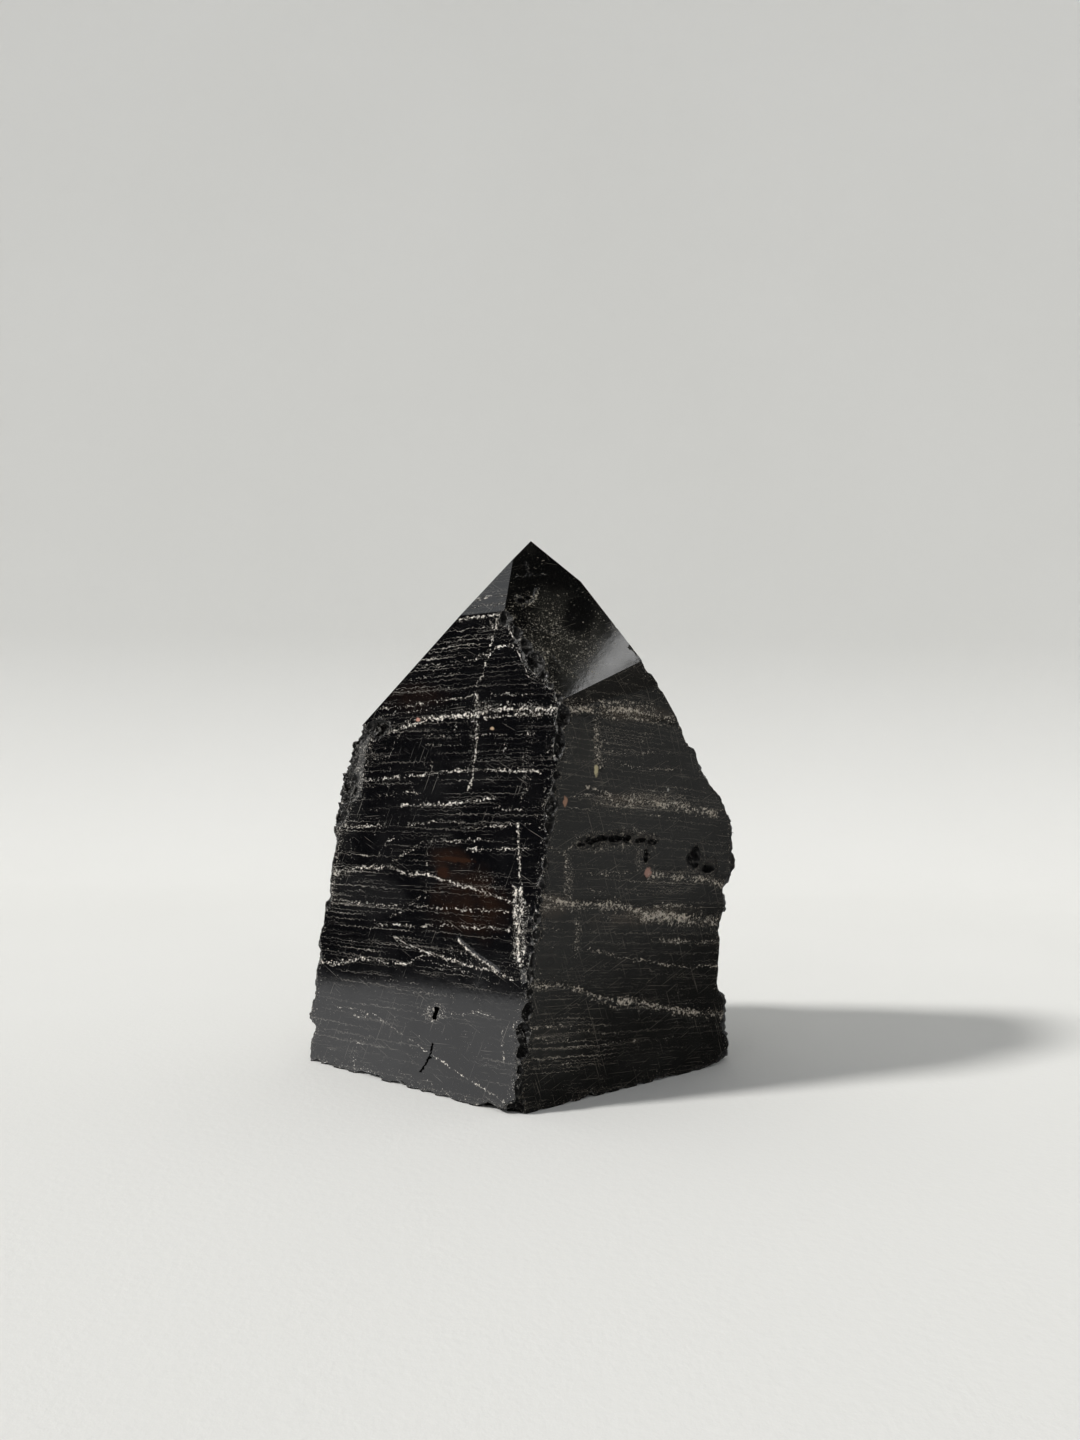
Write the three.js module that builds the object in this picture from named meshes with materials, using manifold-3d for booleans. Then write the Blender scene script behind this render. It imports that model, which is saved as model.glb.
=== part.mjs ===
// A half-polished point of black tourmaline (schorl), standing on its sawn base.
//
// One natural crystal mass, so one solid. It is made the way a lapidary makes it: a raw, ribbed and
// layered crystal is sawn flat underneath, ground on two tall front faces and on the facets of the
// tip, and what the wheel never reached stays raw at the back. Chips and pits are then broken out.
//
// Units are millimetres. +Z is up, the two tall polished faces look towards -Y, and the origin is
// the middle of the stone's bounding box, on the sawn base.

import * as THREE from "three";
import { mergeVertices } from "three/addons/utils/BufferGeometryUtils.js";
import Module from "manifold-3d";

const wasm = await Module();
wasm.setup();

// ---------------------------------------------------------------- driving dimensions

// Corners of the ground faces, where their planes meet before any chip breaks them.
const FRONT_FOOT = vec(-0.5, -43.9, 0); // foot of the front edge
const FRONT_TOP = vec(10.0, -39.0, 93.2); // top of the front edge
const LEFT_FOOT = vec(-56.3, -3.7, 0); // left end of the left face's foot
const RIGHT_FOOT = vec(51.4, -5.4, 0); // right end of the right face's foot
const LEFT_SHOULDER = vec(-39.8, -3.4, 92.0); // where the left face starts to narrow
const RIGHT_SHOULDER = vec(33.3, -22.0, 102.0); // right end of the tip facet's foot
const RIDGE_KNEE = vec(-4.5, -25.4, 116.7); // where the ridge to the tip turns steep
const LEFT_NICK = vec(-17.2, -16.3, 116.4); // left end of the small top left facet's foot
const TIP = vec(1.4, -4.2, 137.6);
const TIP_LEFT = vec(-3.6, -12.5, 130.8); // top of the small left facet
const RIGHT_BEND = vec(14.8, -8.0, 126.2); // where the right edge of the tip steepens
const RIGHT_END = vec(28.4, -18.9, 107.0); // lower end of that edge
const MIDDLE = vec(0, 0, 60); // a point well inside the stone

// Bearings of outward normals, in degrees from +X, and steepness of planes, in degrees from level.
const TIP_RIGHT_BEARINGS = [10, 4];
const TIP_BACK = { at: vec(0.5, -3.2, 137.0), bearing: 94, steepness: 57 };
const SHOULDER_BEVEL = [vec(13.4, -36.0, 94.1), vec(29.2, -21.4, 104.6), vec(33.6, -21.9, 98.6)];
const RIGHT_BREAK = { from: vec(34.6, -21.2, 98.6), to: vec(50.9, -8.4, 71.0), bearing: 0 };
const LEFT_BREAK = { from: LEFT_SHOULDER, to: vec(-50.4, 1.8, 76.1), bearing: 165 };
const BACK_BREAKS = [
  { at: vec(30, 30, 78), bearing: 42, steepness: 62 },
  { at: vec(0, 36, 60), bearing: 84, steepness: 68 },
  { at: vec(-26, 29, 74), bearing: 128, steepness: 63 },
];

// Raw crystal before grinding.
const OUTLINE = [53, 51.5, 49.5, 45.5, 47.5, 51, 55.4, 55, 54, 54, 54, 53.5]; // radii, a twelfth turn apart
const TAPER = 0.045; // loss of radius with height
const BACK_TAPER = 0.085; // extra loss of radius towards +Y
const LEAN = 0.045; // drift of the axis towards +X with height
const RAW_TOP = 152;

// Fractures split the crystal crosswise into layers. Each layer has the height of the fracture under it
// at the axis, the depth of the groove there, and how far it stands out on the right and on the left.
const LAYERS = [
  { floor: -16, notch: 0.5, right: 0, left: 0 },
  { floor: 2.5, notch: 2.4, right: 1.9, left: 1.0 },
  { floor: 13.5, notch: 0.5, right: 1.4, left: 0.5 },
  { floor: 24.3, notch: 1.8, right: -0.5, left: 0.8 },
  { floor: 32.4, notch: 0.6, right: -0.6, left: 0.2 },
  { floor: 39.3, notch: 1.5, right: 1.1, left: -0.4 },
  { floor: 53.0, notch: 1.9, right: 2.9, left: 0.2 },
  { floor: 62.2, notch: 0.8, right: 3.6, left: 0.4 },
  { floor: 72.2, notch: 3.0, right: 1.6, left: 1.2 },
  { floor: 82.6, notch: 0.9, right: 0.8, left: 0 },
  { floor: 93.5, notch: 1.9, right: 0, left: 0.6 },
  { floor: 108, notch: 1.2, right: 0.6, left: 0 },
  { floor: 128, notch: 1.2, right: 0, left: 0 },
  { floor: RAW_TOP, notch: 0, right: 0, left: 0 },
];
const DIP = { x: -0.08, y: -0.13 }; // fall of the fractures towards the back right
const LEFT_NOTCH = 0.3; // share of a groove's depth that is left at the left edge, which the wheel grazed
const FRACTURE_WAVE = 2.6; // how far a fracture wanders up and down on its way round
const LAYER_ROWS = [0, 0.22, 0.74]; // rows of points in a layer, as shares of its height

// Ribs run the length of the crystal, and each layer breaks them off at another depth.
const RIB_WIDTH = { least: 0.06, most: 0.25 }; // in radians
const RIB_CREST = { least: 0.25, most: 0.65 }; // place of a rib's crest, as a share of its width
const CREST_WIDTH = 0.16; // width of the flat on the crest, as a share of the rib's width
const RIB_RISE = { least: 0.5, most: 2.3 }; // height of the crest over the valleys
const RIB_STEP = 1.1; // how far whole ribs stand in front of each other
const BLOCK_STEP = 1.2; // how far one layer of a few ribs stands in front of the next
const LOST_BLOCK = { share: 0.12, depth: 2.8 }; // blocks that have fallen out
const ROUGHNESS = 0.45; // of the raw surface between the ribs

// The raw surface that the wheel never reached runs between these angles, in radians from +X.
const RAW_FROM = -0.24;
const RAW_TO = 3.45;
const FRONT_COLUMNS = 9; // plain columns on the side that is ground away

// Rough breaks step down from fracture to fracture.
const BREAK_SIZE = 170;
const BREAK_STEP = 6.4; // from one ledge to the next
const BREAK_LIP = 1.3; // how far a ledge stands out
const BREAK_CELL = 5.6; // width of a flat place on a ledge

// ---------------------------------------------------------------- chips and hollows, by place

// The raw pocket on the left edge of the left face, which the wheel only grazed.
const LEFT_HOLLOWS = [
  { x: -38.4, z: 88.2, size: vec(4.4, 1.9, 2.6) },
  { x: -44.6, z: 86.2, size: vec(4.6, 2.6, 3.2) },
  { x: -48.0, z: 80.2, size: vec(6.2, 2.3, 5.4) },
  { x: -48.4, z: 72.4, size: vec(6.0, 1.6, 5.2) },
  { x: -50.2, z: 64.8, size: vec(4.2, 1.3, 3.4) },
  { x: -52.9, z: 41.2, size: vec(3.0, 1.6, 1.3) },
];

// A broken seam across the right face, the deep hole at its end, and a pocket near the right edge.
const RIGHT_HOLLOWS = [
  { x: 14.2, z: 60.7, size: vec(1.5, 0.7, 0.6) },
  { x: 16.9, z: 61.5, size: vec(2.1, 1.1, 1.0) },
  { x: 19.7, z: 62.0, size: vec(2.1, 1.4, 0.9) },
  { x: 22.8, z: 61.8, size: vec(2.2, 1.2, 1.1) },
  { x: 25.8, z: 61.7, size: vec(1.9, 1.4, 1.0) },
  { x: 29.4, z: 60.9, size: vec(2.4, 0.8, 0.7) },
  { x: 32.6, z: 60.3, size: vec(1.8, 0.9, 0.9) },
  { x: 31.0, z: 57.0, size: vec(0.9, 1.3, 2.0) },
  { x: 44.6, z: 55.6, size: vec(3.2, 0.8, 2.6) },
  { x: 48.6, z: 52.4, size: vec(3.6, 2.4, 1.7) },
];

// A small bite out of the tip facet beside the ridge.
const TIP_HOLLOWS = [
  { x: -0.4, z: 119.9, size: vec(1.3, 1.0, 1.0) },
  { x: 1.2, z: 120.7, size: vec(0.9, 0.8, 1.3) },
];

// Crumbled lines: the number of chips on each, their half sizes and how deep they bite.
const OUT = vec(0, -1, 0);
const DOWN = vec(0, -0.45, -1).normalize();
const EDGE_CHIP = vec(2.2, 1.8, 2.2);
const LEFT_FOOT_CHIP = vec(3.9, 2.6, 1.7);
const RIGHT_FOOT_CHIP = vec(3.4, 2.4, 1.5);
const CRUMBLED_EDGES = [
  { from: FRONT_FOOT, to: FRONT_TOP, count: 22, out: OUT, size: EDGE_CHIP, bite: 1.1, seed: 600 },
  { from: FRONT_TOP, to: RIDGE_KNEE, count: 7, out: OUT, size: EDGE_CHIP, bite: 1.0, seed: 640 },
  { from: LEFT_FOOT, to: FRONT_FOOT, count: 12, out: DOWN, size: LEFT_FOOT_CHIP, bite: 1.1, seed: 660 },
  { from: FRONT_FOOT, to: RIGHT_FOOT, count: 11, out: DOWN, size: RIGHT_FOOT_CHIP, bite: 0.9, seed: 690 },
];

// Larger chips, from the top of the front edge down to the feet.
const LARGE_CHIPS = [
  { at: vec(-5.0, -26.1, 115.2), size: vec(2.2, 1.5, 2.6), seed: 725 },
  { at: vec(9.7, -39.9, 91.4), size: vec(3.2, 2.5, 3.2), seed: 720 },
  { at: vec(9.1, -40.2, 84.2), size: vec(2.4, 2.3, 3.8), seed: 721 },
  { at: vec(6.8, -41.8, 66.2), size: vec(3.0, 2.4, 3.0), seed: 722 },
  { at: vec(2.8, -43.2, 33.6), size: vec(2.2, 1.9, 4.6), seed: 723 },
  { at: vec(-0.4, -45.3, 1.0), size: vec(4.6, 3.3, 2.6), seed: 724 },
  { at: vec(55.6, -4.6, -0.4), size: vec(4.2, 4.6, 4.0), seed: 727 },
];

const CHIP_DENTS = 0.2; // unevenness of a chip's shell, as a share of its size

// ---------------------------------------------------------------- small helpers

function vec(x, y, z) {
  return new THREE.Vector3(x, y, z);
}

// A repeatable number from 0 to 1 for each whole number.
function scatter(n) {
  const s = Math.sin(n * 12.9898 + 4.1414) * 43758.5453;
  return s - Math.floor(s);
}

// A value between the least and the most.
function mix({ least, most }, share) {
  return least + (most - least) * share;
}

// A smooth random curve from -1 to 1, with one swell for each unit of x.
function ripple(x, seed) {
  const cell = Math.floor(x);
  const t = x - cell;
  const blend = t * t * (3 - 2 * t);
  const from = scatter(cell + seed * 131);
  const to = scatter(cell + 1 + seed * 131);
  return 2 * (from + (to - from) * blend) - 1;
}

// A smooth random surface from -1 to 1.
function mottle(x, y, seed) {
  const row = Math.floor(y);
  const t = y - row;
  const blend = t * t * (3 - 2 * t);
  const low = ripple(x, seed + row * 17);
  return low + (ripple(x, seed + (row + 1) * 17) - low) * blend;
}

// The plane through three points, facing away from the inside of the stone.
function planeThrough(a, b, c) {
  const plane = new THREE.Plane().setFromCoplanarPoints(a, b, c);
  return plane.distanceToPoint(MIDDLE) > 0 ? plane.negate() : plane;
}

// The plane through two points whose outward normal has this bearing, in degrees from +X.
function planeAlong({ from, to, bearing }) {
  const edge = to.clone().sub(from);
  const angle = THREE.MathUtils.degToRad(bearing);
  const flat = vec(Math.cos(angle), Math.sin(angle), 0);
  const rise = -edge.dot(flat) / edge.z;
  const normal = vec(flat.x, flat.y, rise).normalize();
  return new THREE.Plane().setFromNormalAndCoplanarPoint(normal, from);
}

// The plane through one point with this bearing and steepness, both in degrees.
function planeAt({ at, bearing, steepness }) {
  const turn = THREE.MathUtils.degToRad(bearing);
  const tilt = THREE.MathUtils.degToRad(steepness);
  const normal = vec(Math.sin(tilt) * Math.cos(turn), Math.sin(tilt) * Math.sin(turn), Math.cos(tilt));
  return new THREE.Plane().setFromNormalAndCoplanarPoint(normal, at);
}

// ---------------------------------------------------------------- the ground planes

const leftFace = planeThrough(FRONT_FOOT, LEFT_FOOT, FRONT_TOP);
const rightFace = planeThrough(FRONT_FOOT, RIGHT_FOOT, FRONT_TOP);
const tipFront = planeThrough(FRONT_TOP, RIDGE_KNEE, RIGHT_SHOULDER);
const tipLeft = planeThrough(RIDGE_KNEE, LEFT_NICK, TIP_LEFT);
const backLeft = planeThrough(LEFT_SHOULDER, TIP_LEFT, TIP);
const [upperBearing, lowerBearing] = TIP_RIGHT_BEARINGS;
const GROUND = [
  leftFace,
  rightFace,
  tipFront,
  tipLeft,
  backLeft,
  planeAlong({ from: TIP, to: RIGHT_BEND, bearing: upperBearing }),
  planeAlong({ from: RIGHT_BEND, to: RIGHT_END, bearing: lowerBearing }),
  planeAt(TIP_BACK),
  planeThrough(...SHOULDER_BEVEL),
];

// Old breaks of the raw crystal, rough, where the point was already narrow before it was ground.
const BREAKS = [planeAlong(RIGHT_BREAK), ...BACK_BREAKS.map(planeAt), planeAlong(LEFT_BREAK)];

// ---------------------------------------------------------------- the raw crystal

// Radius of the plain outline at an angle: a smooth curve through the listed radii.
function outlineRadius(angle) {
  const count = OUTLINE.length;
  const place = ((angle / (2 * Math.PI)) * count + count) % count;
  const corners = [...OUTLINE, ...OUTLINE.slice(0, 3)].map((radius, i) => vec(i, radius, 0));
  const curve = new THREE.SplineCurve(corners);
  return curve.getPoint((place + (place < 1 ? count : 0)) / (corners.length - 1)).y;
}

// The ribs round the raw side: where each starts, its width, its crest's place and height.
function ribsAround() {
  const ribs = [];
  let start = RAW_FROM;
  while (start < RAW_TO) {
    const seed = 20 + ribs.length;
    const width = mix(RIB_WIDTH, scatter(seed) ** 1.5);
    const crest = mix(RIB_CREST, scatter(seed + 30));
    ribs.push({ start, width, crest, rise: mix(RIB_RISE, scatter(seed + 60)) * (width / RIB_WIDTH.most) });
    start += width;
  }
  return ribs;
}

// Columns of points up the crystal: close on the ribs, wide where the front is ground away.
function columnsAround() {
  const columns = [];
  for (const [rib, { start, width, crest, rise }] of ribsAround().entries()) {
    columns.push({ angle: start, rib, rise: -rise / 2 });
    columns.push({ angle: start + width * (crest - CREST_WIDTH / 2), rib, rise: rise / 2 });
    columns.push({ angle: start + width * (crest + CREST_WIDTH / 2), rib, rise: rise / 2 });
  }
  const gap = 2 * Math.PI + RAW_FROM - RAW_TO;
  for (let i = 1; i < FRONT_COLUMNS; i++) {
    columns.push({ angle: RAW_TO + (gap * i) / FRONT_COLUMNS, rib: -1, rise: 0 });
  }
  return columns;
}

// How far a layer of one rib stands out from the plain outline.
function standOut({ angle, rib }, layer) {
  const { right, left } = LAYERS[layer];
  const across = Math.cos(angle);
  const side = (across > 0 ? right : left) * across * across;
  if (rib < 0) return side;
  const block = Math.floor((rib + 3 * scatter(layer + 400)) / 3);
  const chance = scatter(block * 13 + layer * 29);
  const behind = Math.abs(across) < 0.9;
  const lost = behind && chance < LOST_BLOCK.share ? LOST_BLOCK.depth : 0;
  const ribStep = RIB_STEP * (2 * scatter(rib + 200) - 1);
  return side + (1 - across ** 4) * (ribStep + BLOCK_STEP * (2 * chance - 1)) - lost;
}

// A point of the raw crystal's surface, on one column, at a share of one layer's height.
function rawPoint(column, layer, share) {
  const { angle, rise } = column;
  const across = Math.cos(angle);
  const along = Math.sin(angle);
  const outline = outlineRadius(angle);
  const wave = (at) => FRACTURE_WAVE * ripple(angle * 2.2, 60 + at);
  const low = LAYERS[layer].floor + wave(layer);
  const high = LAYERS[layer + 1].floor + wave(layer + 1);
  const z = low + share * (high - low) + outline * (DIP.x * across + DIP.y * along);
  let relief = standOut(column, layer) + rise;
  if (share === 0) {
    const under = standOut(column, Math.max(layer - 1, 0)) + rise;
    const edge = across > 0 ? 1 : LEFT_NOTCH;
    const behind = 1 - 0.9 * scatter(Math.floor(angle * 2.6) + layer * 5);
    const strength = THREE.MathUtils.lerp(behind, edge, across ** 4);
    relief = Math.min(relief, under) - strength * LAYERS[layer].notch;
  }
  relief += ROUGHNESS * ripple(angle * 31, 120 + layer * 3 + share * 2);
  const height = Math.max(z, 0);
  const radius = outline - height * (TAPER + BACK_TAPER * Math.max(0, along)) + relief;
  return vec(LEAN * height + radius * across, radius * along, z);
}

// The raw crystal as a closed mesh: rings of points, joined, with a flat fan at each end.
function rawCrystal() {
  const columns = columnsAround();
  const count = columns.length;
  const points = [];
  for (let layer = 0; layer < LAYERS.length - 1; layer++) {
    for (const share of LAYER_ROWS) {
      for (const column of columns) points.push(rawPoint(column, layer, share));
    }
  }
  const rings = points.length / count;
  const index = [];
  for (let ring = 0; ring < rings - 1; ring++) {
    for (let i = 0; i < count; i++) {
      const here = ring * count + i;
      const next = ring * count + ((i + 1) % count);
      index.push(here, next, next + count, here, next + count, here + count);
    }
  }
  const bottom = points.push(vec(0, 0, LAYERS[0].floor)) - 1;
  const top = points.push(vec(0, 0, RAW_TOP)) - 1;
  for (let i = 0; i < count; i++) {
    const next = (i + 1) % count;
    index.push(bottom, next, i);
    index.push(top, (rings - 1) * count + i, (rings - 1) * count + next);
  }
  return new THREE.BufferGeometry().setFromPoints(points).setIndex(index);
}

// ---------------------------------------------------------------- cutting

// A three.js geometry as a manifold-3d solid.
function solidOf(geometry) {
  const bare = geometry.clone();
  bare.deleteAttribute("normal");
  bare.deleteAttribute("uv");
  const merged = mergeVertices(bare, 1e-4);
  return new wasm.Manifold(
    new wasm.Mesh({
      numProp: 3,
      vertProperties: new Float32Array(merged.attributes.position.array),
      triVerts: new Uint32Array(merged.index.array),
    }),
  );
}

// A manifold-3d solid as a three.js geometry.
function geometryOf(solid) {
  const mesh = solid.getMesh();
  const places = new Float32Array(mesh.numVert * 3);
  for (let i = 0; i < mesh.numVert; i++) {
    places.set(mesh.vertProperties.subarray(i * mesh.numProp, i * mesh.numProp + 3), i * 3);
  }
  const geometry = new THREE.BufferGeometry();
  geometry.setAttribute("position", new THREE.BufferAttribute(places, 3));
  return geometry.setIndex(new THREE.BufferAttribute(new Uint32Array(mesh.triVerts), 1));
}

// Moves a block so that its lower side lies on a plane, with its own Y up the plane's slope.
function laidOn(plane, block, depth) {
  const rising = vec(0, 0, 1).projectOnPlane(plane.normal);
  const up = rising.length() > 0.1 ? rising.normalize() : vec(0, 1, 0);
  const side = up.clone().cross(plane.normal);
  const turn = new THREE.Matrix4().makeBasis(side, up, plane.normal);
  const middle = plane.projectPoint(MIDDLE, vec(0, 0, 0)).addScaledVector(plane.normal, depth / 2);
  return solidOf(block.applyMatrix4(turn.setPosition(middle)));
}

// The large block on the outer side of a plane, which grinding takes away.
function wasteBlock(plane) {
  const side = 400;
  return laidOn(plane, new THREE.BoxGeometry(side, side, side), side);
}

// The block on the outer side of a break. Its lower side has ledges: each rises slowly outwards to a lip
// and falls back sharply, and the lips come and go along their length.
function brokenBlock(plane, seed) {
  const depth = 90;
  const cells = Math.round(BREAK_SIZE / BREAK_CELL);
  const ledges = Math.round(BREAK_SIZE / BREAK_STEP);
  const block = new THREE.BoxGeometry(BREAK_SIZE, BREAK_SIZE, depth, cells, ledges * 2, 1);
  const place = block.attributes.position;
  const inner = BREAK_SIZE / 2 - 1;
  for (let i = 0; i < place.count; i++) {
    const x = place.getX(i);
    const y = place.getY(i);
    if (place.getZ(i) > 0 || Math.abs(x) > inner || Math.abs(y) > inner) continue;
    const row = Math.round((y + BREAK_SIZE / 2) / (BREAK_STEP / 2));
    const ledge = seed + 7 * Math.floor(row / 2);
    const side = row % 2 === 0 ? 1 : -1;
    const lip = side * BREAK_LIP * (0.55 + 0.55 * ripple(x / 11, ledge));
    const swell = 1.7 * mottle(x / 21, y / 17, seed) + 0.9 * mottle(x / 6, y / 9, seed + 40);
    const rise = 2.4 * ripple(x / 17, ledge + 3) + 0.22 * BREAK_STEP * side;
    place.setXYZ(i, x + 1.8 * ripple(y / 7 + i, seed), y + rise, place.getZ(i) + lip + swell);
  }
  return laidOn(plane, block, depth);
}

// ---------------------------------------------------------------- chips and pits

// A lump whose removal leaves a shell-like chip: a ball of few faces, squashed, turned and dented.
function chipLump({ at, size, seed, turn = 0, lean = 0 }) {
  const lump = new THREE.IcosahedronGeometry(1, 1);
  const place = lump.attributes.position;
  const point = vec(0, 0, 0);
  for (let i = 0; i < place.count; i++) {
    point.fromBufferAttribute(place, i);
    const dent = 1 + CHIP_DENTS * mottle(point.x * 2.3 + 7, point.y * 2.3 + point.z * 1.9 + 5, seed);
    point.multiplyScalar(dent);
    place.setXYZ(i, point.x * size.x, point.y * size.y, point.z * size.z);
  }
  lump.rotateX(lean).rotateZ(turn).translate(at.x, at.y, at.z);
  return solidOf(lump);
}

// Crumbled edge: a run of chips along a line, each set outwards so that it only bites in a little.
function crumbledEdge({ from, to, count, out, size, bite, seed }) {
  const chips = [];
  for (let i = 0; i < count; i++) {
    const share = (i + 0.2 + 0.6 * scatter(seed + i)) / count;
    const big = 0.6 + 0.8 * scatter(seed + 50 + i) ** 2;
    const chip = size.clone().multiplyScalar(big);
    chip.z *= 0.75 + 0.6 * scatter(seed + 70 + i);
    const reach = chip.clone().multiply(out).length();
    const depth = bite * big * (0.5 + 0.9 * scatter(seed + 90 + i));
    chips.push({
      at: from.clone().lerp(to, share).addScaledVector(out, reach - depth),
      size: chip,
      seed: seed + i,
      turn: 0.9 * (scatter(seed + 33 + i) - 0.5),
      lean: 0.7 * (scatter(seed + 44 + i) - 0.5),
    });
  }
  return chips;
}

// A place on a ground plane, given by its bearing across the stone and its height.
function onPlane(plane, x, z) {
  const { normal, constant } = plane;
  return vec(x, -(normal.x * x + normal.z * z + constant) / normal.y, z);
}

// Hollows in one ground face, with their thin side across it.
function hollowsIn(plane, spots, seed) {
  const turn = Math.atan2(plane.normal.x, -plane.normal.y);
  return spots.map(({ x, z, size }, i) => ({ at: onPlane(plane, x, z), size, seed: seed + i, turn }));
}

// ---------------------------------------------------------------- the stone

function halfPolishedPoint() {
  const underside = new THREE.Plane(vec(0, 0, -1), 0);
  const chips = [
    ...hollowsIn(leftFace, LEFT_HOLLOWS, 500),
    ...hollowsIn(rightFace, RIGHT_HOLLOWS, 540),
    ...hollowsIn(tipFront, TIP_HOLLOWS, 580),
    ...CRUMBLED_EDGES.flatMap(crumbledEdge),
    ...LARGE_CHIPS,
  ];
  let stone = solidOf(rawCrystal());
  for (const [i, plane] of BREAKS.entries()) stone = stone.subtract(brokenBlock(plane, 800 + 50 * i));
  for (const plane of [...GROUND, underside]) stone = stone.subtract(wasteBlock(plane));
  for (const chip of chips) stone = stone.subtract(chipLump(chip));
  const [largest] = stone.decompose().sort((a, b) => b.volume() - a.volume());
  return geometryOf(largest);
}

// Puts the origin at the middle of the bounding box, on the base.
function centred(geometry) {
  geometry.computeBoundingBox();
  const middle = geometry.boundingBox.getCenter(vec(0, 0, 0));
  return geometry.translate(-middle.x, -middle.y, -geometry.boundingBox.min.z);
}

const blackStone = new THREE.MeshStandardMaterial({ color: 0x0d0d0e, roughness: 0.16, metalness: 0 });
const point = new THREE.Mesh(centred(halfPolishedPoint()), blackStone);
point.name = "tourmaline_point";

const specimen = new THREE.Group();
specimen.add(point);

export default specimen;
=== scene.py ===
"""A half-polished standing point of black tourmaline, dressed for the studio.

The stone is one piece. Its mesh is grown from the frame's solid: the ground facets keep their
planes, and the raw back and the chipped edges get their fine relief. Each finish is built from
shared node groups, such as the fracture line, the hair fractures and the crushed grains.
"""

import logging
import math
from dataclasses import dataclass, field
from enum import Enum
from functools import partial
from typing import Any, Iterable, Sequence, Union

import bmesh
import bpy
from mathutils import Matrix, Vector, noise
from mathutils.kdtree import KDTree


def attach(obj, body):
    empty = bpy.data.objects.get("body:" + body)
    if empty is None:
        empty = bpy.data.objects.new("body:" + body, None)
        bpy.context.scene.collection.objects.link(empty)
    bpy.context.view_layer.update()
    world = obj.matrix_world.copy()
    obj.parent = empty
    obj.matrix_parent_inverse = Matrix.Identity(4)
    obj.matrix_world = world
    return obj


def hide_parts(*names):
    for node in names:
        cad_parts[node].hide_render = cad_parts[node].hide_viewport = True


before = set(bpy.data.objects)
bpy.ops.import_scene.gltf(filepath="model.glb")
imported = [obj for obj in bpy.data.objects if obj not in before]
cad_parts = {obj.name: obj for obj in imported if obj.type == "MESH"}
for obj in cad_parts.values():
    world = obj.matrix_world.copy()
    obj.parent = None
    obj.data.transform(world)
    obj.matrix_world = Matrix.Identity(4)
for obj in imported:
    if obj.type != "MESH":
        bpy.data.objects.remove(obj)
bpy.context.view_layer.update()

MM = 0.001
BODY = "root"
NODE = "tourmaline_point"

STONE_IOR = 1.63
# painted shade: the black of the open clefts
CLEFT_SHADE = (0.0, 0.0, 0.0)
# how far the crystal's cross fractures rise for each step to the right and to the back
FRACTURE_DIP = (-0.08, -0.13)
# how far a fracture line is felt, in half widths, and how many of the lines are cut into the face
LINE_REACH = 2.8
DEEP_LINES = 8
# how much of the wander lines and clefts follow, and how far each line is nudged by those before it
LINE_STRAY = 0.42
CLEFT_STRAY = 0.30
LINE_NUDGE = 0.05
# how soft the ends of a line and of its gaps are
LONGEST_TAPER = 1.5
TAPER_SHARE = 0.2
CLEFT_TAPER = 0.5
GAP_SPREAD = 0.12
# what counts as one point, as one cut and as one plane
SAME_POINT = 0.001 * MM
SAME_CUT = 0.0001 * MM
SAME_LEVEL = 0.02 * MM
SAME_COSINE = 0.9998
SAME_TURN = math.radians(0.5)
# the part of a normal that makes a facet face down, up or to the front
DOWNWARD = -0.9
UPWARD = 0.5
FORWARD = -0.5

LOG = logging.getLogger("tourmaline")

Colour = tuple[float, float, float]
Spot = tuple[float, float]
Feed = Union[float, Sequence[float], bpy.types.NodeSocket]


class Finish(Enum):
    """The finishes of the stone, in the order of its material slots."""

    LEFT_FACE = 0
    RIGHT_FACE = 1
    TIP_FRONT = 2
    TIP_SIDES = 3
    SAWN_BASE = 4
    RAW = 5
    CHIPPED = 6

    @property
    def ground(self) -> bool:
        """Whether the surface was ground flat."""
        return self not in (Finish.RAW, Finish.CHIPPED)


# ---------------------------------------------------------------------------------------------
# Node trees
# ---------------------------------------------------------------------------------------------


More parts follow.
